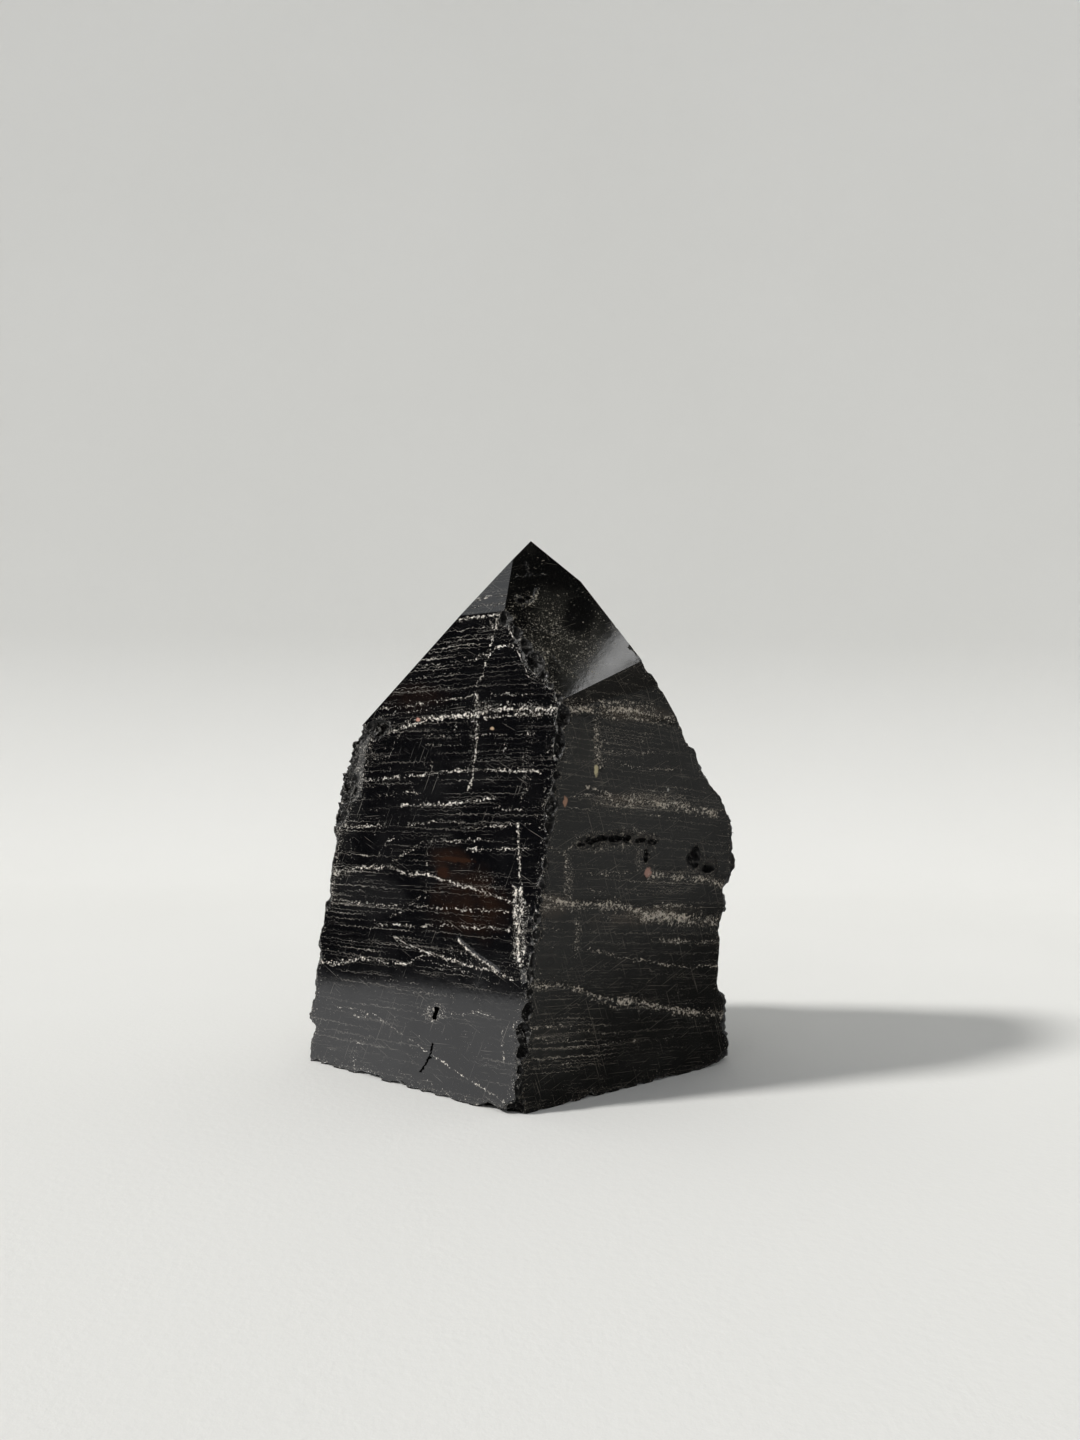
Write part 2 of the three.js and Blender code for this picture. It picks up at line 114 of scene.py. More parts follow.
class Graph:
    """Places nodes in one node tree and joins them.

    Args:
        tree: The node tree to fill.
    """

    def __init__(self, tree: bpy.types.NodeTree) -> None:
        self.tree = tree

    def add(self, kind: str, **settings: Any) -> bpy.types.Node:
        """Add a node of this kind and set its properties."""
        node = self.tree.nodes.new(kind)
        for name, value in settings.items():
            setattr(node, name, value)
        return node

    def feed(self, socket: bpy.types.NodeSocket, value: Feed) -> None:
        """Join an input to another node's output, or set its constant."""
        if isinstance(value, bpy.types.NodeSocket):
            self.tree.links.new(value, socket)
        elif hasattr(value, "__len__") and len(socket.default_value) == 4:
            socket.default_value = (*value, 1.0)
        else:
            socket.default_value = value

    def math(self, operation: str, *terms: Feed, clamp: bool = False) -> bpy.types.NodeSocket:
        """Add a Math node, whose result clamp keeps from 0 to 1."""
        node = self.add("ShaderNodeMath", operation=operation, use_clamp=clamp)
        for socket, term in zip(node.inputs, terms):
            self.feed(socket, term)
        return node.outputs[0]

    def span(self, value: Feed, low: Feed, high: Feed, to_low: Feed = 0.0, to_high: Feed = 1.0,
             smooth: bool = True, clamp: bool = True) -> bpy.types.NodeSocket:
        """Add a Map Range node, in which low becomes to_low and high becomes to_high."""
        kind = "SMOOTHSTEP" if smooth else "LINEAR"
        node = self.add("ShaderNodeMapRange", interpolation_type=kind, clamp=clamp)
        for socket, term in zip(node.inputs, (value, low, high, to_low, to_high)):
            self.feed(socket, term)
        return node.outputs[0]

    def mix(self, factor: Feed, first: Feed, second: Feed) -> bpy.types.NodeSocket:
        """Mix two colours, the first at factor 0 and the second at 1."""
        node = self.add("ShaderNodeMix", data_type="RGBA")
        colours = [socket for socket in node.inputs if socket.type == "RGBA"]
        self.feed(node.inputs[0], factor)
        self.feed(colours[0], first)
        self.feed(colours[1], second)
        return next(socket for socket in node.outputs if socket.type == "RGBA")

    def noise(self, place: Feed, scale: float, detail: float = 2.0,
              rough: float = 0.5, swirl: float = 0.0) -> bpy.types.NodeSocket:
        """Add a Noise Texture, where swirl is how much it distorts itself."""
        node = self.add("ShaderNodeTexNoise")
        pairs = {"Vector": place, "Scale": scale, "Detail": detail,
                 "Roughness": rough, "Distortion": swirl}
        for name, value in pairs.items():
            self.feed(node.inputs[name], value)
        return node.outputs[0]

    def stretch(self, place: Feed, scale: Sequence[float] = (1, 1, 1), turn: Sequence[float] = (0, 0, 0),
                shift: Sequence[float] = (0, 0, 0)) -> bpy.types.NodeSocket:
        """Scale, turn and then shift coordinates with a Mapping node."""
        node = self.add("ShaderNodeMapping")
        self.feed(node.inputs["Vector"], place)
        self.feed(node.inputs["Scale"], scale)
        self.feed(node.inputs["Rotation"], turn)
        self.feed(node.inputs["Location"], shift)
        return node.outputs[0]

    def curve(self, value: Feed, points: Sequence[Spot], rounded: bool = True) -> bpy.types.NodeSocket:
        """Map a number through a curve.

        Args:
            value: The number.
            points: The curve's points, in rising order.
            rounded: Whether it is rounded between them.

        Returns:
            The result.
        """
        node = self.add("ShaderNodeFloatCurve")
        mapping = node.mapping
        mapping.use_clip = False
        mapping.extend = "HORIZONTAL"
        line = mapping.curves[0]
        while len(line.points) < len(points):
            line.points.new(0.5, 0.5)
        for dot, spot in zip(line.points, points):
            dot.location = spot
            dot.handle_type = "AUTO_CLAMPED" if rounded else "VECTOR"
        mapping.update()
        self.feed(node.inputs["Value"], value)
        return node.outputs[0]

    def joined(self, along: Feed, height: Feed, depth: Feed = 0.0) -> bpy.types.NodeSocket:
        """Make one vector of three numbers."""
        node = self.add("ShaderNodeCombineXYZ")
        for socket, term in zip(node.inputs, (along, height, depth)):
            self.feed(socket, term)
        return node.outputs[0]

    def parted(self, place: Feed) -> tuple[bpy.types.NodeSocket, ...]:
        """Split a vector in its three numbers."""
        node = self.add("ShaderNodeSeparateXYZ")
        self.feed(node.inputs[0], place)
        return tuple(node.outputs)

    def use(self, group: bpy.types.NodeTree, **values: Feed) -> dict[str, bpy.types.NodeSocket]:
        """Place a node group, fed by name with _ for a space, and give its outputs by name."""
        node = self.add("ShaderNodeGroup", node_tree=group)
        for name, value in values.items():
            self.feed(node.inputs[name.replace("_", " ")], value)
        return {socket.name: socket for socket in node.outputs}

    def surface(self, relief: Feed, strength: float, depth: float, **looks: Feed) -> None:
        """Finish a material with one Principled surface.

        Args:
            relief: The height of its bump.
            strength: How strongly the bump shows.
            depth: How deep it is, in millimetres.
            looks: The shader's other inputs by name, with _ for a space.
        """
        bump = self.add("ShaderNodeBump")
        for name, value in {"Strength": strength, "Distance": depth * MM, "Height": relief}.items():
            self.feed(bump.inputs[name], value)
        shader = self.add("ShaderNodeBsdfPrincipled")
        self.feed(shader.inputs["Normal"], bump.outputs["Normal"])
        for name, value in looks.items():
            self.feed(shader.inputs[name.replace("_", " ")], value)
        end = self.add("ShaderNodeOutputMaterial")
        self.feed(end.inputs["Surface"], shader.outputs["BSDF"])


def blank_material(name: str) -> tuple[bpy.types.Material, Graph]:
    """Make a material without nodes, and the graph that fills it."""
    material = bpy.data.materials.new(name)
    material.use_nodes = True
    material.node_tree.nodes.clear()
    return material, Graph(material.node_tree)


def add_object(name: str, data: bpy.types.ID) -> bpy.types.Object:
    """Put an object with this data into the scene."""
    thing = bpy.data.objects.new(name, data)
    bpy.context.scene.collection.objects.link(thing)
    return thing


def to_object(bm: bmesh.types.BMesh, name: str) -> bpy.types.Object:
    """Turn a mesh, which is then freed, into an object in the scene."""
    mesh = bpy.data.meshes.new(name)
    bm.to_mesh(mesh)
    bm.free()
    return add_object(name, mesh)


def triangulate(bm: bmesh.types.BMesh) -> None:
    """Split every face that has more than three corners."""
    wide = [f for f in bm.faces if len(f.verts) > 3]
    bmesh.ops.triangulate(bm, faces=wide, quad_method="BEAUTY", ngon_method="BEAUTY")


def smooth(bm: bmesh.types.BMesh, verts: list[bmesh.types.BMVert], rounds: int) -> None:
    """Smooth some vertices, round after round."""
    for _ in range(rounds):
        bmesh.ops.smooth_vert(bm, verts=verts, factor=0.5, use_axis_x=True, use_axis_y=True,
                              use_axis_z=True)


def nearest_of(verts: Sequence[bmesh.types.BMVert]) -> KDTree:
    """Make the tree that finds the nearest of some vertices."""
    tree = KDTree(len(verts))
    for number, vert in enumerate(verts):
        tree.insert(vert.co, number)
    tree.balance()
    return tree


class Effect:
    """A node group that several finishes share.

    Args:
        name: The group's name.
        inputs: Each input's name and default, a number or three numbers.
        outputs: The names of the outputs, all plain numbers.
    """

    def __init__(self, name: str, inputs: dict[str, Any], outputs: Sequence[str]) -> None:
        self.tree = bpy.data.node_groups.new(name, "ShaderNodeTree")
        for label, default in inputs.items():
            kind = "NodeSocketVector" if hasattr(default, "__len__") else "NodeSocketFloat"
            socket = self.tree.interface.new_socket(name=label, in_out="INPUT", socket_type=kind)
            socket.default_value = default
        for label in outputs:
            self.tree.interface.new_socket(name=label, in_out="OUTPUT", socket_type="NodeSocketFloat")
        self.graph = Graph(self.tree)
        self.inputs = self.graph.add("NodeGroupInput").outputs

    def finish(self, **results: bpy.types.NodeSocket) -> bpy.types.NodeTree:
        """Join the results to the group's outputs.

        Args:
            results: Each output's source by name.

        Returns:
            The finished group.
        """
        end = self.graph.add("NodeGroupOutput")
        for name, socket in results.items():
            self.graph.feed(end.inputs[name], socket)
        return self.tree


class Effects:
    """Every shared effect, built once."""

    def __init__(self) -> None:
        self.wander = self._wander()
        self.line = self._line()
        self.strata = self._strata()
        self.blocks = self._blocks()
        self.grains = self._grains()
        self.patch = self._patch()
        self.scratches = self._scratches()
        self.edge_crush = self._edge_crush()

    @staticmethod
    def _wander() -> bpy.types.NodeTree:
        """How far the fractures stray from their course, and where they break off."""
        effect = Effect("Fracture Wander", {"Place": (0, 0, 0)}, ["Stray", "Breaks"])
        g, place = effect.graph, effect.inputs["Place"]
        slow = g.noise(g.stretch(place, (0.7, 1.0, 1.0)), 0.075, 1.0)
        quick = g.noise(g.stretch(place, (1.0, 0.5, 1.0)), 0.42, 2.0, 0.62)
        far = g.math("MULTIPLY_ADD", slow, 3.4, -1.7)
        stray = g.math("MULTIPLY_ADD", g.math("SUBTRACT", quick, 0.5), 3.4, far)
        crinkle = g.noise(g.stretch(place, (0.8, 1.0, 1.0), shift=(3, 5, 8)), 1.5, 1.0)
        stray = g.math("MULTIPLY_ADD", g.math("SUBTRACT", crinkle, 0.5), 4.6, stray)
        breaks = g.noise(g.stretch(place, (0.35, 1.6, 1.0), shift=(31, 7, 3)), 0.55, 2.0, 0.6)
        return effect.finish(Stray=stray, Breaks=breaks)

    @staticmethod
    def _line() -> bpy.types.NodeTree:
        """How close a place is to one fracture, joined with the fractures before it."""
        inputs = {"Height": 0.0, "Course": 0.0, "Presence": 1.0, "Breaks": 0.5, "Reach": 1.2,
                  "Strength": 1.0, "Broken": 0.2, "Whole": 0.5, "Before": 0.0}
        effect = Effect("Fracture Line", inputs, ["Lines"])
        g, i = effect.graph, effect.inputs
        away = g.math("ABSOLUTE", g.math("SUBTRACT", i["Height"], i["Course"]))
        close = g.span(away, i["Reach"], 0.0, smooth=False)
        kept = g.math("MULTIPLY", i["Breaks"], i["Presence"])
        shown = g.math("MULTIPLY", close, g.span(kept, i["Broken"], i["Whole"], 0.0, i["Strength"]))
        return effect.finish(Lines=g.math("MAXIMUM", i["Before"], shown))

    @staticmethod
    def _strata() -> bpy.types.NodeTree:
        """Hair fractures: many thin lines, one above the other, each in short reaches."""
        inputs = {"Along": 0.0, "Height": 0.0, "Spacing": 1.5, "Width": 0.1, "Reach": 14.0,
                  "Amount": 0.5, "Seed": 0.0}
        effect = Effect("Hair Fractures", inputs, ["Lines"])
        g, i = effect.graph, effect.inputs
        cell = g.add("ShaderNodeTexVoronoi", voronoi_dimensions="1D", feature="DISTANCE_TO_EDGE")
        row = g.math("DIVIDE", i["Height"], i["Spacing"])
        g.feed(cell.inputs["W"], g.math("ADD", row, i["Seed"]))
        g.feed(cell.inputs["Scale"], 1.0)
        away = g.math("MULTIPLY", cell.outputs["Distance"], i["Spacing"])
        core = g.span(away, i["Width"], 0.0)
        place = g.joined(g.math("DIVIDE", i["Along"], i["Reach"]), g.math("MULTIPLY", row, 1.7),
                         i["Seed"])
        reach = g.noise(place, 1.0, 1.0)
        bar = g.math("SUBTRACT", 0.78, g.math("MULTIPLY", i["Amount"], 0.45))
        shown = g.span(reach, bar, g.math("ADD", bar, 0.14))
        return effect.finish(Lines=g.math("MULTIPLY", core, shown))

    @staticmethod
    def _blocks() -> bpy.types.NodeTree:
        """A tone for each of the blocks that the stone's cracks part."""
        inputs = {"Place": (0, 0, 0), "Long": 14.0, "High": 7.0, "Seed": 0.0}
        effect = Effect("Stone Blocks", inputs, ["Tone"])
        g, i = effect.graph, effect.inputs
        push = g.math("MULTIPLY_ADD", g.noise(i["Place"], 0.16, 3.0, 0.6), 3.0, -1.5)
        along, height, depth = g.parted(i["Place"])
        place = g.joined(g.math("DIVIDE", g.math("ADD", along, push), i["Long"]),
                         g.math("DIVIDE", g.math("ADD", height, push), i["High"]),
                         g.math("ADD", depth, i["Seed"]))
        cell = g.add("ShaderNodeTexVoronoi", voronoi_dimensions="2D", feature="F1")
        g.feed(cell.inputs["Vector"], place)
        g.feed(cell.inputs["Scale"], 1.0)
        tone, _, _ = g.parted(cell.outputs["Color"])
        return effect.finish(Tone=tone)

    @staticmethod
    def _grains() -> bpy.types.NodeTree:
        """Crushed grains, thick where the zone is strong."""
        inputs = {"Place": (0, 0, 0), "Fineness": 1.6, "Zone": 0.5}
        effect = Effect("Crushed Grains", inputs, ["Grains"])
        g, i = effect.graph, effect.inputs
        fleck = g.add("ShaderNodeTexNoise")
        shard = g.add("ShaderNodeTexVoronoi", feature="F1")
        for node in (fleck, shard):
            g.feed(node.inputs["Vector"], i["Place"])
            g.feed(node.inputs["Scale"], i["Fineness"])
        g.feed(fleck.inputs["Detail"], 2.0)
        g.feed(fleck.inputs["Roughness"], 0.75)
        tone, _, _ = g.parted(shard.outputs["Color"])
        bar = g.math("MULTIPLY_ADD", i["Zone"], -0.30, 0.80)
        bar = g.math("MULTIPLY_ADD", g.math("SUBTRACT", tone, 0.5), 0.12, bar)
        body = g.span(fleck.outputs[0], bar, g.math("ADD", bar, 0.07))
        return effect.finish(Grains=g.math("MULTIPLY", body, g.math("MULTIPLY_ADD", tone, 0.6, 0.4)))

    @staticmethod
    def _patch() -> bpy.types.NodeTree:
        """A soft oval patch with a ragged edge, added to the patches before it."""
        inputs = {"Along": 0.0, "Height": 0.0, "Ragged": 0.5, "Middle": 0.0, "Level": 0.0,
                  "Half Length": 10.0, "Half Height": 5.0, "Softness": 0.4, "Strength": 1.0,
                  "Before": 0.0}
        effect = Effect("Soft Patch", inputs, ["Patches"])
        g, i = effect.graph, effect.inputs
        side = g.math("DIVIDE", g.math("SUBTRACT", i["Along"], i["Middle"]), i["Half Length"])
        rise = g.math("DIVIDE", g.math("SUBTRACT", i["Height"], i["Level"]), i["Half Height"])
        away = g.math("SQRT", g.math("ADD", g.math("MULTIPLY", side, side), g.math("MULTIPLY", rise, rise)))
        away = g.math("MULTIPLY_ADD", g.math("SUBTRACT", i["Ragged"], 0.5), 1.6, away)
        inner = g.math("SUBTRACT", 1.0, i["Softness"])
        shown = g.math("MULTIPLY", g.span(away, 1.0, inner), i["Strength"])
        return effect.finish(Patches=g.math("MAXIMUM", i["Before"], shown))

    @staticmethod
    def _scratches() -> bpy.types.NodeTree:
        """Fine polishing scratches in three directions."""
        inputs = {"Place": (0, 0, 0), "Amount": 0.5}
        effect = Effect("Polishing Scratches", inputs, ["Scratches"])
        g, i = effect.graph, effect.inputs
        bar = g.math("SUBTRACT", 0.80, g.math("MULTIPLY", i["Amount"], 0.22))
        total: Feed = 0.0
        for turn, seed in ((0.10, 11.0), (-0.42, 23.0), (1.22, 37.0)):
            spun = g.stretch(i["Place"], (1, 1, 1), (0, 0, turn))
            place = g.stretch(spun, (0.10, 4.5, 1.0), (0, 0, 0), (seed, seed, seed))
            streak = g.noise(place, 1.0, 1.0, 0.5, 0.2)
            total = g.math("MAXIMUM", total, g.span(streak, bar, g.math("ADD", bar, 0.06)))
        return effect.finish(Scratches=total)

    @staticmethod
    def _edge_crush() -> bpy.types.NodeTree:
        """Crushed pale stone along a broken edge, from the mesh's own closeness to it."""
        inputs = {"Place": (0, 0, 0), "Rim": 0.0, "Bite": 0.5}
        effect = Effect("Edge Crush", inputs, ["Crush"])
        g, i = effect.graph, effect.inputs
        coarse = g.noise(i["Place"], 0.55, 3.0, 0.65)
        fine = g.noise(i["Place"], 3.0, 1.0)
        ragged = g.math("MULTIPLY_ADD", g.math("SUBTRACT", coarse, 0.5), 1.5, i["Rim"])
        ragged = g.math("MULTIPLY_ADD", g.math("SUBTRACT", fine, 0.5), 0.5, ragged)
        bar = g.math("SUBTRACT", 1.2, g.math("MULTIPLY", i["Bite"], 0.6))
        return effect.finish(Crush=g.span(ragged, bar, g.math("ADD", bar, 0.2)))


# ---------------------------------------------------------------------------------------------
# Finishes
# ---------------------------------------------------------------------------------------------


@dataclass(frozen=True)
class Fracture:
    """A fracture line drawn on a face, in millimetres.

    Args:
        course: The points that it passes, along the face and up it.
        width: Half the width of the line.
        strength: How pale it is, from 0 to 1.
        gaps: How much of it is broken off.
    """

    course: tuple[Spot, ...]
    width: float = 0.22
    strength: float = 0.8
    gaps: float = 0.38


@dataclass(frozen=True)
class Patch:
    """An oval patch on a face, in millimetres.

    Args:
        middle: Its middle, along the face and up it.
        reach: Its half length and half height.
        strength: How much it shows, from 0 to 1.
        softness: The share of it that fades.
    """

    middle: Spot
    reach: Spot
    strength: float = 1.0
    softness: float = 0.5


def draw_patches(g: Graph, group: bpy.types.NodeTree, along: Feed, height: Feed, ragged: Feed,
                 patches: Iterable[Patch]) -> Feed:
    """Draw patches.

    Args:
        g: The material's graph.
        group: The group that draws one patch.
        along: The place along the face.
        height: The height on it.
        ragged: The noise that frays their edges.
        patches: The patches.

    Returns:
        Their mask.
    """
    mask: Feed = 0.0
    for patch in patches:
        mask = g.use(group, Along=along, Height=height, Ragged=ragged,
                     Middle=patch.middle[0], Level=patch.middle[1],
                     Half_Length=patch.reach[0], Half_Height=patch.reach[1],
                     Softness=patch.softness, Strength=patch.strength, Before=mask)["Patches"]
    return mask


LEFT_FRACTURES = (
    # the upper stack, from the tip facet's border down to the shoulder
    Fracture(((29.0, 115.5), (14.0, 116.0)), 0.25, 0.9, 0.30),
    Fracture(((29.0, 112.5), (17.0, 113.0)), 0.14, 0.5),
    Fracture(((33.0, 110.0), (18.5, 110.5)), 0.14, 0.5),
    Fracture(((42.0, 104.5), (28.0, 105.0), (17.5, 106.5)), 0.14, 0.5),
    Fracture(((24.0, 104.5), (17.5, 106.0), (12.5, 108.0), (9.0, 108.0)), 0.24, 0.95, 0.22),
    Fracture(((14.5, 115.5), (11.5, 112.5), (9.0, 108.5)), 0.20, 0.7),
    Fracture(((9.5, 108.5), (7.5, 105.5), (3.0, 98.0)), 0.22, 0.85, 0.36),
    Fracture(((46.0, 100.5), (24.0, 102.0)), 0.12, 0.4),
    Fracture(((50.0, 97.5), (28.0, 98.5)), 0.10, 0.3),
    Fracture(((54.5, 92.5), (39.5, 94.0), (30.5, 95.0), (19.5, 96.0)), 0.20, 0.75, 0.32),
    Fracture(((52.0, 91.0), (38.0, 92.5), (24.0, 94.0)), 0.16, 0.55),
    Fracture(((16.0, 96.0), (2.0, 96.5)), 0.16, 0.5),
    # the shoulder fracture
    Fracture(((50.5, 86.5), (37.5, 89.5), (24.5, 91.0), (12.5, 92.5), (2.0, 92.5), (-5.0, 93.0)),
             0.34, 1.0, 0.22),
    Fracture(((44.0, 89.5), (28.0, 91.5), (14.0, 93.5), (1.0, 94.0)), 0.16, 0.6),
    Fracture(((22.0, 90.0), (10.0, 91.0), (-4.0, 91.5)), 0.22, 0.75),
    Fracture(((41.0, 89.0), (46.0, 84.5), (47.0, 81.5), (55.0, 79.5)), 0.18, 0.6),
    Fracture(((37.5, 86.0), (21.0, 86.5), (1.5, 86.5)), 0.14, 0.55),
    Fracture(((36.0, 83.5), (20.0, 84.5)), 0.12, 0.4),
    # the middle
    Fracture(((57.0, 74.0), (41.5, 75.5), (30.0, 77.0), (18.5, 78.0), (-2.0, 78.0)), 0.24, 0.95, 0.30),
    Fracture(((56.0, 72.5), (43.0, 73.5)), 0.14, 0.5),
    Fracture(((51.0, 70.0), (35.0, 72.0)), 0.14, 0.5),
    Fracture(((43.0, 68.0), (31.5, 69.0), (19.5, 70.0), (10.5, 71.0)), 0.26, 1.0, 0.24),
    Fracture(((12.5, 68.5), (-2.5, 69.5)), 0.20, 0.7),
    Fracture(((39.5, 63.0), (25.0, 65.0), (17.0, 64.0), (-0.5, 66.0)), 0.18, 0.7),
    Fracture(((65.0, 61.5), (51.0, 62.5), (40.5, 63.0)), 0.24, 0.65, 0.34),
    Fracture(((33.0, 59.5), (11.5, 61.5)), 0.20, 0.85),
    Fracture(((20.5, 58.5), (-1.0, 60.0)), 0.20, 0.9, 0.30),
    # the middle fracture and its branches
    Fracture(((67.0, 48.5), (50.5, 52.0), (44.5, 52.5), (37.5, 51.0)), 0.36, 0.8, 0.25),
    Fracture(((38.0, 51.0), (32.0, 51.5), (24.5, 50.5), (15.5, 49.5), (4.0, 47.5)), 0.27, 0.95, 0.28),
    Fracture(((49.5, 54.0), (46.0, 58.5), (42.5, 60.0)), 0.18, 0.6),
    Fracture(((46.0, 52.5), (40.5, 55.5), (35.5, 58.5), (32.0, 59.5)), 0.22, 0.75),
    Fracture(((44.0, 39.0), (36.0, 43.5), (31.5, 47.0)), 0.26, 0.8),
    Fracture(((62.5, 42.0), (40.5, 43.0), (21.0, 44.0), (4.0, 45.5)), 0.18, 0.65),
    Fracture(((50.5, 37.5), (33.5, 38.5), (14.5, 40.5), (3.0, 41.5)), 0.20, 0.75),
    # the lower fracture and its net
    Fracture(((68.0, 25.0), (60.0, 26.5), (53.0, 28.5), (47.0, 29.0), (41.0, 28.5)), 0.36, 0.7, 0.25),
    Fracture(((41.0, 28.5), (35.0, 30.0), (30.0, 32.0)), 0.26, 0.75),
    Fracture(((41.0, 35.0), (33.0, 33.5), (26.0, 32.5), (16.0, 31.5), (6.0, 31.0), (2.0, 30.0)),
             0.28, 0.95, 0.22),
    Fracture(((20.0, 37.0), (17.0, 35.5), (12.5, 33.5), (6.0, 31.0)), 0.34, 1.0, 0.20),
    Fracture(((39.0, 28.5), (32.5, 31.0), (26.5, 34.0)), 0.22, 0.8),
    Fracture(((34.0, 31.0), (18.0, 30.0), (6.0, 28.5)), 0.14, 0.5),
    Fracture(((23.5, 32.5), (21.0, 30.0)), 0.18, 0.7),
    Fracture(((18.5, 30.5), (16.5, 29.0)), 0.18, 0.7),
    # the foot
    Fracture(((23.0, 19.0), (16.0, 20.0), (10.0, 21.0), (4.5, 20.0)), 0.24, 0.7, 0.50),
    Fracture(((61.5, 15.5), (46.5, 16.0)), 0.18, 0.5),
    Fracture(((55.5, 13.5), (45.5, 15.0)), 0.18, 0.45),
    Fracture(((46.0, 15.5), (10.5, 5.0), (-2.0, 1.5)), 0.15, 0.70, 0.20),
    Fracture(((52.0, 24.0), (30.0, 25.0)), 0.10, 0.35),
    Fracture(((40.0, 22.5), (20.0, 23.5), (8.0, 24.5)), 0.10, 0.35),
)

LEFT_UPRIGHTS = (
    Fracture(((52.0, 2.5), (47.0, 1.5), (40.0, 2.0), (33.0, 1.0)), 0.55, 1.0, 0.20),
    Fracture(((44.0, 1.0), (36.0, 0.0)), 0.40, 1.0, 0.20),
    Fracture(((116.0, 15.0), (106.5, 17.0), (104.0, 17.5), (97.5, 20.5)), 0.30, 0.85, 0.36),
    Fracture(((97.5, 20.0), (91.5, 19.0), (86.0, 19.0), (79.0, 19.0), (71.0, 20.5)), 0.34, 0.85, 0.36),
    Fracture(((66.5, 4.0), (51.5, 2.5)), 0.30, 1.0, 0.20),
    Fracture(((52.0, 4.0), (41.0, 2.5)), 0.50, 1.0, 0.28),
    Fracture(((90.0, 32.5), (85.5, 34.5)), 0.16, 0.6),
    Fracture(((89.5, 25.5), (87.0, 26.0)), 0.16, 0.6),
    Fracture(((86.5, 9.0), (81.0, 10.5)), 0.20, 0.7),
    Fracture(((80.5, 33.0), (77.0, 32.5)), 0.18, 0.7),
    Fracture(((75.5, 40.0), (70.5, 37.0)), 0.20, 0.6),
    Fracture(((81.5, 47.5), (75.0, 46.5)), 0.20, 0.5),
    Fracture(((63.0, 60.0), (53.0, 58.0)), 0.26, 0.5),
    Fracture(((58.5, 31.5), (42.0, 31.0)), 0.14, 0.6, 0.42),
    Fracture(((20.0, 4.5), (9.0, 2.5)), 0.20, 0.75),
    Fracture(((11.0, 45.5), (3.5, 51.0), (0.5, 50.0)), 0.18, 0.45),
)

RIGHT_FRACTURES = (
    Fracture(((9.5, 93.0), (22.0, 92.5), (37.5, 92.0), (47.5, 90.5)), 0.62, 0.95, 0.32),
    Fracture(((12.0, 95.0), (26.0, 94.5), (40.0, 94.0)), 0.40, 0.6),
    Fracture(((22.0, 91.0), (34.0, 90.5), (46.0, 89.5)), 0.50, 0.6),
    Fracture(((10.5, 80.5), (23.5, 80.5), (38.5, 78.5), (47.0, 78.0)), 0.18, 0.7, 0.32),
    Fracture(((22.0, 85.5), (44.0, 84.5)), 0.16, 0.4),
    Fracture(((22.0, 83.0), (46.0, 82.0)), 0.26, 0.4),
    Fracture(((17.5, 74.5), (25.5, 72.5), (33.5, 71.0), (41.5, 70.0)), 0.40, 0.80, 0.36),
    Fracture(((32.0, 71.5), (41.5, 70.0), (64.0, 66.5)), 1.20, 0.75, 0.28),
    Fracture(((14.0, 72.5), (30.0, 71.0), (44.0, 69.5)), 0.30, 0.7, 0.42),
    Fracture(((20.0, 70.5), (36.0, 69.5)), 0.24, 0.6, 0.42),
    Fracture(((12.0, 69.5), (28.0, 68.5), (50.0, 65.5)), 0.16, 0.55),
    Fracture(((3.0, 60.5), (6.5, 61.0), (10.5, 59.5), (15.5, 61.0), (19.0, 63.5)), 0.26, 0.6),
    Fracture(((23.0, 53.0), (32.5, 52.0)), 0.20, 0.6),
    Fracture(((15.0, 54.0), (36.0, 53.0)), 0.18, 0.5),
    Fracture(((18.5, 51.0), (29.5, 46.5)), 0.18, 0.5),
    Fracture(((38.0, 52.5), (44.5, 51.5), (55.5, 50.0), (70.0, 46.5)), 0.90, 0.8, 0.24),
    Fracture(((4.0, 50.0), (16.0, 47.0), (29.0, 45.5), (39.5, 42.5), (52.0, 40.5), (70.0, 38.0)),
             0.55, 1.0, 0.24),
    Fracture(((5.0, 47.0), (16.0, 46.0), (30.0, 44.0)), 0.45, 0.7, 0.36),
    Fracture(((36.0, 42.0), (50.0, 40.0), (68.0, 38.0)), 1.30, 0.9, 0.22),
    Fracture(((36.0, 45.0), (60.0, 42.0)), 0.45, 0.45),
    Fracture(((4.0, 42.5), (15.0, 41.0)), 0.16, 0.5),
    Fracture(((19.5, 36.0), (30.0, 33.0), (40.0, 30.5), (48.0, 28.5), (68.0, 26.0)), 0.26, 0.75, 0.34),
    Fracture(((42.0, 35.5), (70.0, 32.0)), 0.60, 0.5, 0.32),
    Fracture(((-2.0, 30.5), (6.5, 29.0), (15.5, 27.5), (22.5, 24.5), (29.5, 22.5)), 0.34, 0.95, 0.22),
    Fracture(((29.5, 22.5), (39.5, 20.0), (52.0, 16.5), (68.0, 13.0)), 0.80, 0.90, 0.24),
    Fracture(((20.0, 24.0), (30.0, 21.0), (42.0, 18.0)), 0.22, 0.6),
    Fracture(((1.0, 19.5), (11.5, 18.5), (22.0, 15.5)), 0.20, 0.65),
    Fracture(((4.0, 17.0), (16.0, 14.5)), 0.16, 0.5),
    Fracture(((0.5, 12.0), (8.5, 11.5), (16.0, 9.0), (20.0, 7.5)), 0.20, 0.6),
    Fracture(((24.0, 13.5), (50.0, 9.5)), 0.16, 0.4),
)

